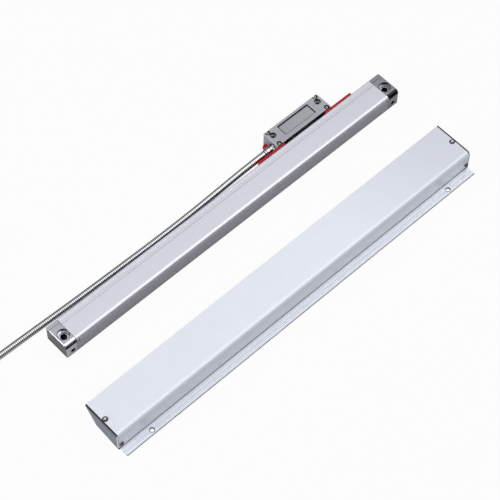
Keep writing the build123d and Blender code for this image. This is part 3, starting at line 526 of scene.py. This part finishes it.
def make_cover_finish():
    """Pale anodised cover, with a painted highlight on its edges, painted shade that makes its far
    end duller and painted light that makes its wall and flange paler.

    Painted shade draws dark lines round its screw heads and holes, along its grooves and its
    flange's two edges.
    """
    made = finish("cover_aluminium", grey(0.73, cold), grey(0.78, cold), (0.42, 0.5), metal=0.25,
                  texture="lines", edge=grey(0.9, cold), bump=0.1, edge_width=0.0006,
                  coat_weight=0.3, coat_roughness=0.22)
    tree = made.node_tree
    # painted shade towards the far end
    far_end = product(tree, past(tree, "X", 60.0, 200.0), cover_far_shade_share)
    lay_over(made, far_end, grey(0.38, cover_far_shade_tint))
    # painted light on the wall and flange
    lay_past(made, [("Y", cover_side + 4.0, cover_side + 2.6, grey(0.93, cold))])
    # painted shade in the grooves
    for row in cover_groove_rows:
        groove = between(tree, "Y", row - groove_half, row + groove_half)
        lay_over(made, groove, grey(0.66, cold))
    # painted shade round the screw heads and the holes
    for spot in cover_screw_spots:
        lay_over(made, near_line(tree, spot, 3.15, 2.95), grey(0.05))
    for spot in cover_hole_spots:
        lay_over(made, near_line(tree, spot, 3.05, 2.8), grey(0.12, cold))
    # painted shade along the flange's outer edge and where the flange meets the wall
    low = corners_of("cover_shell")[0]
    lay_past(made, [("Y", low.y + 0.3, low.y + 0.15, grey(0.22, cold))])
    corner = product(tree, past(tree, "Y", cover_side - 0.7, cover_side - 0.3),
                     past(tree, "Y", cover_side + 0.3, cover_side + 0.1),
                     past(tree, "Z", 2.9, 2.4))
    lay_over(made, corner, grey(0.25, cold))


near_cap_light_share = 0.35
far_cap_shade_share = 0.5
cap_shade_band_z = (16.4, 18.6)
cap_round_z = (16.8, 21.0)
cap_step_y = (10.4, 10.9)
cap_step_shade_share = 0.85


def make_cap_finish():
    """Bright plating, with painted highlights on its edges, painted light on the near cap and
    painted shade on the far one and on the end faces.

    A band of painted shade, a painted dark reflection, runs under the round edge, on the far cap
    over it too. The step has a line of painted shade, and each counterbore a rim of painted shade,
    a floor with a painted highlight and a hole painted black as shade.
    """
    made = finish("plated_casting", grey(0.48, lilac), grey(0.54, lilac), (0.05, 0.11), metal=1.0,
                  fine=300.0, edge=grey(0.7), bump=0.25, depth=0.0001, edge_width=0.0004)
    tree = made.node_tree
    true = add(tree, "ShaderNodeNewGeometry")
    parts = add(tree, "ShaderNodeSeparateXYZ")
    join(tree, true.outputs["Normal"], parts.inputs[0])
    far_end = past(tree, "X", 0.0, 1.0)
    near_end = past(tree, "X", 1.0, 0.0)
    # painted light on the near cap, painted shade on the far cap
    lay_over(made, product(tree, near_end, near_cap_light_share), grey(0.85, lilac))
    lay_over(made, product(tree, far_end, far_cap_shade_share), grey(0.2, lilac))
    # painted shade, a dark reflection, under the round edge
    under_round_shade = product(tree, between(tree, "Z", *cap_shade_band_z), past(tree, "Y", -13.0, -13.4))
    lay_over(made, under_round_shade, grey(0.02, lilac))
    # painted shade over the far cap's round edge
    round_painted_light = product(tree, between(tree, "Z", *cap_round_z), far_end,
                         past(tree, "Y", -10.4, -11.2))
    lay_over(made, round_painted_light, grey(0.02, lilac))
    # painted shade along the step
    step_shade_line = product(tree, between(tree, "Y", *cap_step_y), past(tree, "Z", 19.8, 20.0),
                        cap_step_shade_share)
    lay_over(made, step_shade_line, grey(0.05, lilac))
    for spot in cap_hole_spots:
        # a painted highlight on the counterbore's floor, painted shade in its hole and round its
        # rim
        floor = product(tree, near_line(tree, spot, 5.8, 5.7), past(tree, "Z", 16.2, 16.0))
        lay_over(made, floor, grey(0.85, lilac))
        hole = product(tree, near_line(tree, spot, 3.7, 3.6), past(tree, "Z", 15.7, 15.5))
        lay_over(made, hole, grey(0.01))
        rim = product(tree, near_line(tree, spot, 6.6, 6.4), near_line(tree, spot, 5.8, 5.95),
                      past(tree, "Z", 17.0, 18.0))
        lay_over(made, rim, grey(0.015))
    # painted shade on the end faces
    facing = math_node(tree, "ABSOLUTE", parts.outputs[0])
    ends = product(tree, spread(tree, facing, 0.0, 1.0, start=0.7, end=0.95),
                   past(tree, "Z", 20.6, 20.2))
    lay_over(made, ends, grey(0.2, lilac))


def dress_nodes():
    """Gives every node of the frame the finish of its slot; lid and end gaskets have their own."""
    for part in frame["record"]["subparts"]:
        shown = nodes[part["node"]]
        shown.data.materials.clear()
        shown.data.materials.append(materials[part["material_slot"]])
    nodes["head_lid"].data.materials[0] = materials["lid_casting"]
    for end in ("near", "far"):
        nodes[f"end_gasket_{end}"].data.materials[0] = materials["grey_gasket"]


# Armoured cable

cable_diameter = 7.2 * mm
cable_radius = cable_diameter / 2
ferrule_mouth = 72.4
cable_axis = (24.9, 13.2)
lead_route = [
    (ferrule_mouth, *cable_axis),
    (ferrule_mouth - 24.0, *cable_axis),
    (ferrule_mouth - 57.0, 25.6, 8.9),
    (ferrule_mouth - 96.0, 26.2, 4.4),
    (ferrule_mouth - 142.0, 25.9, 3.6),
    (-128.0, 26.5, 3.6),
    (-188.0, 27.4, 3.6),
    (-240.0, 29.0, 3.6),
    (-290.0, 30.2, 3.6),
]
coil_centre = (-345.0, 88.4)
coil_outer_turn = 57.6
turn_gap = 7.25
points_a_turn = 16
tail_route = [
    (-327.0, 146.4, 10.8),
    (-309.0, 147.6, 8.0),
    (-293.0, 147.6, 8.0),
]
tie_angle = 203.3
tie_lift = 1.35
tie_spread = 24.0
# the turns wound so far, the radius of the turn there and its height
coil_path = [
    (0.0, coil_outer_turn, 3.6), (4.0, coil_outer_turn - 4 * turn_gap, 3.6),
    (4.1, 27.9, 3.7), (4.2, 27.4, 5.4), (4.3, 27.4, 7.4), (4.5, 27.4, 10.7), (4.7, 27.9, 10.85),
    (5.0, 28.8, 10.85), (5.25, 33.0, 10.85), (5.5, 34.6, 10.85), (6.0, 36.3, 10.85),
    (6.25, 40.3, 10.85), (6.5, 41.8, 10.85), (7.0, 43.7, 10.85), (7.25, 47.6, 10.85),
    (7.5, 49.1, 10.85), (8.0, 51.2, 10.85), (8.25, 54.9, 10.85), (8.5, coil_outer_turn, 10.8),
]


def coil_points():
    """The coil's turns: wound inward on the floor, up through the middle, outward on top."""
    turns = coil_path[-1][0]
    count = round(turns * points_a_turn)
    # the smooth line passes this much inside the points that guide it, so they stand further out
    reach = 8 / (6 + 2 * cos(tau / points_a_turn))
    marks = [row[0] for row in coil_path]
    points = []
    for index in range(count + 1):
        turn = index * turns / count
        radius = float(np.interp(turn, marks, [row[1] for row in coil_path]))
        height = float(np.interp(turn, marks, [row[2] for row in coil_path]))
        angle = -pi / 2 - turn * tau
        away = (degrees(angle) - tie_angle + 180.0) % 360.0 - 180.0
        height += tie_lift * exp(-(away / tie_spread) ** 2)
        if 0 < index < count:
            radius *= reach
        points.append((coil_centre[0] + radius * cos(angle), coil_centre[1] + radius * sin(angle),
                       height))
    return points


def cable_route():
    """The points that guide the cable from the ferrule through its coil to the plug."""
    return [Vector(p) * mm for p in lead_route + coil_points() + tail_route]


def smooth_line(points, samples):
    """The points of the smooth line whose control points are given."""
    data = bpy.data.curves.new("route", "CURVE")
    data.dimensions = "3D"
    data.resolution_u = samples
    spline = data.splines.new("NURBS")
    spline.points.add(len(points) - 1)
    for held, point in zip(spline.points, points):
        held.co = (*point, 1.0)
    spline.order_u = 3
    spline.use_endpoint_u = True
    line = bpy.data.objects.new("route", data)
    scene.collection.objects.link(line)
    bpy.context.view_layer.update()
    shown = line.evaluated_get(bpy.context.evaluated_depsgraph_get())
    mesh = bpy.data.meshes.new_from_object(shown)
    found = [v.co.copy() for v in mesh.vertices]
    bpy.data.objects.remove(line)
    bpy.data.meshes.remove(mesh)
    return found


# a rib's profile: how far along its pitch, and how far up from the bottom of the groove
armour_profile = [(0.0, 0.0), (0.14, 0.9), (0.6, 1.0), (0.84, 0.15)]
armour_pitch = 1.95 * mm
armour_groove = 0.25 * mm
armour_sides = 16
route_samples = 12
track_step = 0.5 * mm


def follow(line):
    """Even lengths along a line, the places there, and the sideways and upward directions."""
    places = np.array([tuple(p) for p in line])
    lengths = np.concatenate([[0.0], np.cumsum(np.linalg.norm(np.diff(places, axis=0), axis=1))])
    fine = np.linspace(0.0, lengths[-1], int(lengths[-1] / track_step))
    track = np.stack([np.interp(fine, lengths, places[:, k]) for k in range(3)], 1)
    along = np.gradient(track, axis=0)
    along /= np.linalg.norm(along, axis=1)[:, None]
    side = np.zeros_like(track)
    side[0] = np.cross(along[0], (0.0, 0.0, 1.0))
    for k in range(1, len(track)):
        bent = side[k - 1] - along[k] * np.dot(side[k - 1], along[k])
        side[k] = bent / np.linalg.norm(bent)
    return fine, track, side, np.cross(side, along)


def hose_faces(rows):
    """The faces between the rows of corners; a row's last corner meets the next rib's first."""
    levels = len(armour_profile)
    faces = []
    for row in range(rows - levels):
        for corner in range(armour_sides):
            nearer = row * armour_sides + corner
            if corner + 1 < armour_sides:
                beside = nearer + 1
            else:
                beside = (row + levels) * armour_sides
            if beside + armour_sides < rows * armour_sides:
                faces.append((nearer, nearer + armour_sides, beside + armour_sides, beside))
    return faces


def make_armoured_cable():
    """The hose of interlocked strip: one helical rib that runs its whole length."""
    line = smooth_line(cable_route(), route_samples)
    fine, track, side, upward = follow(line)
    whole = fine[-1]
    ribs = int(whole / armour_pitch) - 1
    levels = len(armour_profile)
    rows = ribs * levels
    starts = np.array([(row // levels) + armour_profile[row % levels][0] for row in range(rows)])
    depth = np.array([armour_profile[row % levels][1] for row in range(rows)])
    corners = np.arange(armour_sides)
    lengths_wanted = (starts[:, None] + corners[None, :] / armour_sides) * armour_pitch
    stretch = whole / ((ribs - 0.5) * armour_pitch)
    wanted = (lengths_wanted * stretch).ravel()
    angle = np.tile(corners * tau / armour_sides, rows)
    radius = np.repeat(cable_radius - armour_groove * (1.0 - depth), armour_sides)
    centre, sideways, up = [
        np.stack([np.interp(wanted, fine, values[:, k]) for k in range(3)], 1)
        for values in (track, side, upward)]
    away = sideways * np.cos(angle)[:, None] + up * np.sin(angle)[:, None]
    spots = centre + away * radius[:, None]
    mesh = bpy.data.meshes.new("armoured_cable")
    mesh.from_pydata([tuple(s) for s in spots], [], hose_faces(rows))
    close_hose(mesh)
    groove = mesh.attributes.new("groove", "FLOAT", "POINT")
    values = np.zeros(len(mesh.vertices), np.float32)
    values[:len(spots)] = np.repeat(1.0 - depth, armour_sides)
    groove.data.foreach_set("value", values)
    for polygon in mesh.polygons:
        polygon.use_smooth = True
    cable = bpy.data.objects.new("armoured_cable", mesh)
    scene.collection.objects.link(cable)
    mesh.materials.append(materials["armour_steel"])
    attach(cable, "reading_head")
    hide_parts("cable_lead", "cable_coil", "cable_tail")
    return cable, line, whole


def close_hose(mesh):
    """Fills both open ends of the hose and turns its faces outward."""
    work = bmesh.new()
    work.from_mesh(mesh)
    open_edges = [e for e in work.edges if len(e.link_faces) == 1]
    bmesh.ops.holes_fill(work, edges=open_edges, sides=0)
    bmesh.ops.recalc_face_normals(work, faces=work.faces)
    work.to_mesh(mesh)
    work.free()


# Small hardware: each model stands on its own Z, is modelled once in mm and then copied

def start_fresh():
    """Leaves nothing selected, so that an operator meets only the new piece."""
    if bpy.context.mode != "OBJECT":
        bpy.ops.object.mode_set(mode="OBJECT")
    bpy.ops.object.select_all(action="DESELECT")


def choose(piece):
    start_fresh()
    piece.select_set(True)
    bpy.context.view_layer.objects.active = piece


def turned(name, steps, corners=28):
    """A piece turned about Z: steps are its radii and heights, from the first face to the last."""
    start_fresh()
    radius, height = steps[0]
    bpy.ops.mesh.primitive_circle_add(vertices=corners, radius=radius * mm, fill_type="NGON",
                                      location=(0.0, 0.0, height * mm))
    made = bpy.context.active_object
    made.name = name
    bpy.ops.object.transform_apply(location=True, rotation=True, scale=True)
    bpy.ops.object.mode_set(mode="EDIT")
    bpy.ops.mesh.select_all(action="SELECT")
    for next_radius, next_height in steps[1:]:
        bpy.ops.mesh.extrude_region_move(
            TRANSFORM_OT_translate={"value": (0.0, 0.0, (next_height - height) * mm)})
        share = next_radius / radius
        bpy.ops.transform.resize(value=(share, share, 1.0), center_override=(0.0, 0.0, 0.0))
        radius, height = next_radius, next_height
    bpy.ops.mesh.select_all(action="SELECT")
    bpy.ops.mesh.normals_make_consistent(inside=False)
    bpy.ops.object.mode_set(mode="OBJECT")
    return made


def block(name, size, middle, rounding=0.0):
    """A box with that size and middle, its edges bevelled where rounding is given."""
    start_fresh()
    bpy.ops.mesh.primitive_cube_add(size=1.0, location=Vector(middle) * mm)
    made = bpy.context.active_object
    made.name = name
    made.scale = Vector(size) * mm
    bpy.ops.object.transform_apply(location=True, rotation=True, scale=True)
    if rounding:
        bpy.ops.object.mode_set(mode="EDIT")
        bpy.ops.mesh.select_all(action="SELECT")
        bpy.ops.mesh.bevel(offset=rounding * mm, segments=2, affect="EDGES")
        bpy.ops.object.mode_set(mode="OBJECT")
    return made


def shape(piece, tool, operation):
    """Cuts the tool out of the piece, adds it, or keeps what both share; the tool goes."""
    choose(piece)
    bpy.ops.object.modifier_add(type="BOOLEAN")
    change = piece.modifiers[-1]
    change.operation = operation
    change.solver = "EXACT"
    change.object = tool
    bpy.ops.object.modifier_apply(modifier=change.name)
    bpy.data.objects.remove(tool)
    return piece


def pick_faces(piece, test):
    """In edit mode, selects the faces whose middle, in mm, and normal pass the test."""
    work = bmesh.from_edit_mesh(piece.data)
    for face in work.faces:
        face.select_set(test(face.calc_center_median() / mm, face.normal))
    bmesh.update_edit_mesh(piece.data)


def dress(piece, finish_name, body, stands_for, smooth=32):
    """Gives a finished piece its shading, finish and body."""
    choose(piece)
    bpy.ops.object.shade_smooth_by_angle(angle=radians(smooth))
    piece.data.materials.clear()
    piece.data.materials.append(materials[finish_name])
    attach(piece, body)
    if stands_for:
        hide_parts(stands_for)
    return piece


def put(model, name, place, axis, finish_name, body, stands_for=None):
    """A copy of the model with its own mesh, laid at the place with its Z along the axis."""
    made = model.copy()
    made.data = model.data.copy()
    made.name = name
    made.data.name = name
    scene.collection.objects.link(made)
    choose(made)
    made.rotation_mode = "QUATERNION"
    made.rotation_quaternion = Vector(axis).to_track_quat("Z", "Y")
    made.location = Vector(place) * mm
    bpy.ops.object.transform_apply(location=True, rotation=True, scale=True)
    return dress(made, finish_name, body, stands_for)


def cross_screw(name, head_radius, head_height, shank_radius, shank_length):
    """A pan head screw with a cross recess, seated at height 0."""
    made = turned(name, [
        (shank_radius * 0.7, -shank_length), (shank_radius, -shank_length + shank_radius * 0.4),
        (shank_radius, 0.0), (head_radius, 0.0), (head_radius, head_height * 0.4),
        (head_radius * 0.93, head_height * 0.75), (head_radius * 0.74, head_height),
    ])
    depth = head_height * 0.7
    arm = (head_radius * 1.15, head_radius * 0.26, depth * 2)
    for size in (arm, (arm[1], arm[0], arm[2])):
        shape(made, block("recess", size, (0.0, 0.0, head_height)), "DIFFERENCE")
    return made


def socket_screw(name, radius, length, across_flats):
    """A headless screw with a hexagon socket, its end at height 0."""
    made = turned(name, [(radius * 0.6, -length), (radius, -length + 0.5), (radius, -0.25),
                         (radius - 0.25, 0.0)])
    corner = across_flats / 2 / cos(pi / 6)
    return shape(made, turned("socket", [(corner, -1.6), (corner, 0.4)], 6), "DIFFERENCE")


lid_screw_seat = 19.1
bracket_screws = [(92.7, 17.4, -1), (154.3, 17.4, -1), (72.0, 18.6, 1), (175.0, 18.6, 1)]
bracket_screw_height = 15.2
cover_top = 26.2
wall_screw_height = 8.0
cap_screws = [("near", -212.3), ("far", 212.3)]
cap_screw_seat = (-15.1, 16.4)


def make_screws():
    """The screws of the lid, the brackets, the cover and the caps."""
    lid = cross_screw("lid_screw", head_radius=1.9, head_height=1.3, shank_radius=1.25,
                      shank_length=9.7)
    for count, (x, y) in enumerate(lid_screw_spots, 1):
        put(lid, f"lid_screw_{count}", (x, y, lid_screw_seat), (0, 0, 1), "steel_screw",
            "reading_head", "head_lid_screws")
    bracket = cross_screw("bracket_screw", head_radius=2.1, head_height=1.2, shank_radius=1.25,
                          shank_length=2.4)
    for count, (x, y, way) in enumerate(bracket_screws, 1):
        put(bracket, f"bracket_screw_{count}", (x, y, bracket_screw_height), (0, way, 0),
            "steel_screw", "reading_head", "bracket_screws")
    cover = cross_screw("cover_screw", head_radius=2.6, head_height=1.5, shank_radius=1.5,
                        shank_length=6.0)
    for side, (x, y) in zip(("near", "far"), cover_screw_spots):
        put(cover, f"cover_top_screw_{side}", (x, y, cover_top), (0, 0, 1), "steel_screw",
            "root", "cover_screws")
        put(cover, f"cover_wall_screw_{side}", (x, cover_side, wall_screw_height), (0, -1, 0),
            "steel_screw", "root", "cover_screws")
    grub = socket_screw("grub_screw", radius=1.3, length=5.0, across_flats=1.4)
    for side, x in cap_screws:
        put(grub, f"cap_screw_{side}", (x, *cap_screw_seat), (0, -1, 0), "dark_screw", "root",
            "cap_screws")
    for model in (lid, bracket, cover, grub):
        bpy.data.objects.remove(model)


gland_place = 81.0
gland_across_flats = 9.0
ring_places = [1.7, 6.6]


def make_cable_fittings():
    """The gland's hexagon, and the ferrule with its crimp grooves and rubber rings."""
    gland_corner = gland_across_flats / 2 / cos(pi / 6)
    hexagon = turned("hexagon", [(gland_corner, 0.0), (gland_corner, 4.0)], 6)
    rounded = turned("corner_cut", [(4.3, -0.01), (5.25, 0.55), (5.25, 3.5), (4.6, 4.01)], 48)
    shape(hexagon, rounded, "INTERSECT")
    shape(hexagon, turned("neck", [(3.2, 3.0), (3.2, 6.2)], 32), "UNION")
    gland = put(hexagon, "gland_nut", (gland_place, *cable_axis), (1, 0, 0), "chrome_plate",
                "reading_head", "cable_gland")
    sleeve = turned("sleeve", [
        (3.7, 0.0), (4.05, 0.15), (4.2, 0.45), (4.2, 1.5), (3.8, 1.8), (3.8, 2.2), (4.2, 2.5),
        (4.2, 6.4), (3.8, 6.7), (3.8, 7.1), (4.2, 7.4), (4.2, 8.6)], 40)
    ferrule = put(sleeve, "ferrule", (ferrule_mouth, *cable_axis), (1, 0, 0), "chrome_plate",
                  "reading_head", "cable_ferrule")
    ring = turned("ring", [(3.75, 0.0), (4.02, 0.1), (4.02, 0.5), (3.75, 0.6)], 32)
    rings = [put(ring, f"ferrule_ring_{count}", (ferrule_mouth + along, *cable_axis), (1, 0, 0),
                 "black_rubber", "reading_head") for count, along in enumerate(ring_places, 1)]
    # the gland nut gets the darker copy of chrome plate, as painted shade
    gland.data.materials[0] = materials["shaded_chrome"]
    for model in (hexagon, sleeve, ring):
        bpy.data.objects.remove(model)
    return [gland, ferrule] + rings


boot_ribs = 7
boot_pitch = 2.6
boot_radius = 4.2
boot_growth = 0.17
boot_groove = 0.55


def make_strain_relief():
    """A rubber boot with ribs that grow towards the plug."""
    steps = []
    for rib in range(boot_ribs):
        start = 0.3 + rib * boot_pitch
        radius = boot_radius + boot_growth * rib
        steps += [(radius, start), (radius, start + 1.5), (radius - boot_groove, start + 1.8),
                  (radius - boot_groove, start + 2.5)]
    steps += [(5.5, 18.6), (5.5, 20.0)]
    boot = turned("boot", steps, 32)
    made = put(boot, "ribbed_boot", tail_route[-1], (1, 0, 0), "black_rubber", "reading_head",
               "strain_relief")
    bpy.data.objects.remove(boot)
    return made


knurl_sides = 32
knurl_end = 7.0
knurl_depth = 0.3


def make_thumbscrews():
    """The plug's two knurled screws, each on its own body and in the place of its own node."""
    model = turned("thumbscrew", [(2.7, 0.0), (3.1, 0.4), (3.1, 7.6), (2.7, 8.0), (1.5, 8.7),
                                  (1.5, 53.4), (1.1, 54.0)], knurl_sides)
    choose(model)
    bpy.ops.object.mode_set(mode="EDIT")
    pick_faces(model, lambda middle, normal: abs(normal.z) < 0.1 and middle.z < knurl_end
               and round(atan2(middle.y, middle.x) / (tau / knurl_sides) - 0.5) % 2 == 0)
    bpy.ops.mesh.inset(thickness=0.08 * mm, depth=-knurl_depth * mm, use_individual=True)
    bpy.ops.object.mode_set(mode="OBJECT")
    shape(model, block("slot", (7.0, 0.9, 2.0), (0.0, 0.0, 0.0)), "DIFFERENCE")
    made = []
    for side in ("left", "right"):
        low, high = corners_of(f"thumbscrew_{side}")
        middle = (low + high) / 2
        made.append(put(model, f"knurled_screw_{side}", (low.x, middle.y, middle.z), (1, 0, 0),
                        "chrome_plate", f"thumbscrew_{side}", f"thumbscrew_{side}"))
    bpy.data.objects.remove(model)
    return made


def copied_node(name, node, rounding):
    """A copy of a CAD node's mesh, joined up and with its sharp edges rounded."""
    made = nodes[node].copy()
    made.data = nodes[node].data.copy()
    made.name = name
    made.data.name = name
    made.parent = None
    made.matrix_world = Matrix.Identity(4)
    scene.collection.objects.link(made)
    choose(made)
    bpy.ops.object.mode_set(mode="EDIT")
    bpy.ops.mesh.select_all(action="SELECT")
    bpy.ops.mesh.remove_doubles(threshold=0.001 * mm)
    bpy.ops.mesh.dissolve_limited(angle_limit=radians(1.0))
    bpy.ops.object.mode_set(mode="OBJECT")
    bpy.ops.object.modifier_add(type="BEVEL")
    change = made.modifiers[-1]
    change.width = rounding * mm
    change.segments = 2
    change.limit_method = "ANGLE"
    change.angle_limit = radians(40)
    bpy.ops.object.modifier_apply(modifier=change.name)
    return made


finger_grooves = 5
finger_groove_size = (1.3, 15.0, 1.0)
finger_groove_start = 12.0
finger_groove_step = 3.2
seam_size = (0.7, 0.5)


def make_plug_hood():
    """The plug's moulded hood, with finger grooves on top and the seam of its two halves."""
    made = copied_node("moulded_hood", "plug_hood", rounding=0.5)
    low, high = corners_of("plug_hood")
    middle = (low + high) / 2
    for count in range(finger_grooves):
        along = low.x + finger_groove_start + finger_groove_step * count
        shape(made, block("groove", finger_groove_size, (along, middle.y, high.z)), "DIFFERENCE")
    for y in (low.y, high.y):
        shape(made, block("seam", (high.x - low.x + 2.0, *seam_size), (middle.x, y, middle.z)),
              "DIFFERENCE")
    return dress(made, "black_plastic", "reading_head", "plug_hood", smooth=20)


tie_width = 4.8
tie_strap = 0.9
tie_room = 0.15


def make_cable_tie(hose):
    """The tie round the coil's turns, its head on top and the cut end of its strap."""
    outward = Vector((cos(radians(tie_angle)), sin(radians(tie_angle)), 0.0))
    centre = Vector((*coil_centre, 0.0))
    held = []
    for vertex in hose.data.vertices:
        away = vertex.co / mm - centre
        reach = away.dot(outward)
        if reach > 0.0 and (away - outward * reach).xy.length < tie_width / 2 + 0.2:
            held.append((reach, vertex.co.z / mm))
    near, far = min(h[0] for h in held) - tie_room, max(h[0] for h in held) + tie_room
    low, high = min(h[1] for h in held) - tie_room, max(h[1] for h in held) + tie_room
    middle, reach, tall = (near + far) / 2, far - near, high - low
    rise = (low + high) / 2
    band = block("tie_band", (reach + 2 * tie_strap, tie_width, tall + 2 * tie_strap),
                 (middle, 0.0, rise), 0.5)
    shape(band, block("inside", (reach, tie_width * 2, tall), (middle, 0.0, rise)), "DIFFERENCE")
    top = high + tie_strap
    head = block("tie_head", (5.8, tie_width + 1.2, 3.4), (middle + 4.0, 0.0, top + 1.6), 0.4)
    shape(head, block("opening", (8.0, tie_width - 1.0, 1.2), (middle + 4.0, 0.0, top + 2.0)),
          "DIFFERENCE")
    strap = block("tie_strap", (15.0, tie_width - 1.2, 0.9), (middle + 9.0, 0.0, top + 2.0), 0.2)
    made = []
    for piece, stands_for in ((band, "cable_tie"), (head, None), (strap, None)):
        choose(piece)
        piece.location = centre * mm
        piece.rotation_euler = (0.0, 0.0, radians(tie_angle))
        bpy.ops.object.transform_apply(location=True, rotation=True, scale=True)
        made.append(dress(piece, "black_plastic", "reading_head", stands_for))
    return made


# Stage: floor, light and background

floor_size = 12.0
floor_level = -0.0002
floor_tone = 0.52
sky_tint = (0.975, 0.985, 1.04)
sky_low = 0.02
sky_high = 0.7
sky_rise = (0.3, 0.8)
camera_share = 0.955
glossy_share = 0.05


def make_stage():
    """A pale floor that keeps a soft shadow, and a sky that is white to the camera alone."""
    bpy.ops.mesh.primitive_plane_add(size=floor_size, location=(0.0, 0.0, floor_level))
    floor = bpy.context.active_object
    floor.name = "floor"
    made = bpy.data.materials.new("floor")
    made.use_nodes = True
    tree = made.node_tree
    shader = tree.nodes["Principled BSDF"]
    shader.inputs["Base Color"].default_value = grey(floor_tone)
    shader.inputs["Roughness"].default_value = 0.9
    shader.inputs["Specular IOR Level"].default_value = 0.0
    white = add(tree, "ShaderNodeEmission", color=grey(1.0), strength=1.0)
    mixed = add(tree, "ShaderNodeMixShader")
    join(tree, shown_share(tree), mixed.inputs["Fac"])
    join(tree, shader.outputs[0], mixed.inputs[1])
    join(tree, white.outputs[0], mixed.inputs[2])
    join(tree, mixed.outputs[0], tree.nodes["Material Output"].inputs["Surface"])
    floor.data.materials.append(made)
    sky = bpy.data.worlds.new("sky")
    scene.world = sky
    sky.use_nodes = True
    tree = sky.node_tree
    dim = tree.nodes["Background"]
    place = add(tree, "ShaderNodeTexCoord")
    parts = add(tree, "ShaderNodeSeparateXYZ")
    join(tree, place.outputs["Generated"], parts.inputs[0])
    height = spread(tree, parts.outputs[2], 0.0, 1.0, *sky_rise)
    tone = blend_colours(tree, height, grey(sky_low, sky_tint), grey(sky_high, sky_tint))
    join(tree, tone, dim.inputs["Color"])
    bright = add(tree, "ShaderNodeBackground", color=grey(1.0), strength=1.0)
    mixed = add(tree, "ShaderNodeMixShader")
    path = add(tree, "ShaderNodeLightPath")
    join(tree, path.outputs["Is Camera Ray"], mixed.inputs["Fac"])
    join(tree, dim.outputs[0], mixed.inputs[1])
    join(tree, bright.outputs[0], mixed.inputs[2])
    join(tree, mixed.outputs[0], tree.nodes["World Output"].inputs["Surface"])


def shown_share(tree):
    """How much of the plain white the floor shows: more to the camera than in reflections."""
    path = add(tree, "ShaderNodeLightPath")
    seen = product(tree, path.outputs["Is Camera Ray"], camera_share)
    other = math_node(tree, "MAXIMUM", path.outputs["Is Glossy Ray"],
                      path.outputs["Is Transmission Ray"])
    return math_node(tree, "ADD", seen, product(tree, other, glossy_share))


def make_lamp(name, direction, distance, size, glow):
    """A square soft light that looks at the middle of the object, with one edge along X.

    glow is how bright its face is, where 1 is white.
    """
    data = bpy.data.lights.new(name, "AREA")
    data.shape = "SQUARE"
    data.size = size
    data.energy = glow * pi * size * size
    lamp = bpy.data.objects.new(name, data)
    away = Vector(direction).normalized()
    across = Vector((1.0, 0.0, 0.0))
    across = (across - away * across.dot(away)).normalized()
    turn = Matrix((across, away.cross(across), away)).transposed()
    lamp.matrix_world = Matrix.Translation(away * distance) @ turn.to_4x4()
    scene.collection.objects.link(lamp)


def make_lights():
    make_lamp("overhead_light", direction=(0.37, -0.12, 0.92), distance=1.9, size=1.85, glow=1.55)
    make_lamp("side_light", direction=(-1.0, 0.25, 0.42), distance=2.2, size=1.2, glow=5.5)


make_camera()
make_metal_finishes()
make_painted_finishes()
make_soft_finishes()
make_head_finishes()
make_plate_finish()
make_cover_finish()
make_cap_finish()
make_glass_finish("scale_glass", (0.72, 0.86, 0.80, 1.0), ruled=True)
make_glass_finish("clear_lens", (0.88, 0.93, 0.95, 1.0))
make_armour_finish()
dress_nodes()
cable, cable_line, cable_length = make_armoured_cable()
make_screws()
on_cable = make_cable_fittings() + [make_strain_relief(), make_plug_hood()]
on_cable += make_thumbscrews() + make_cable_tie(cable) + [nodes["plug_shell"], nodes["plug_pins"]]
make_stage()
make_lights()
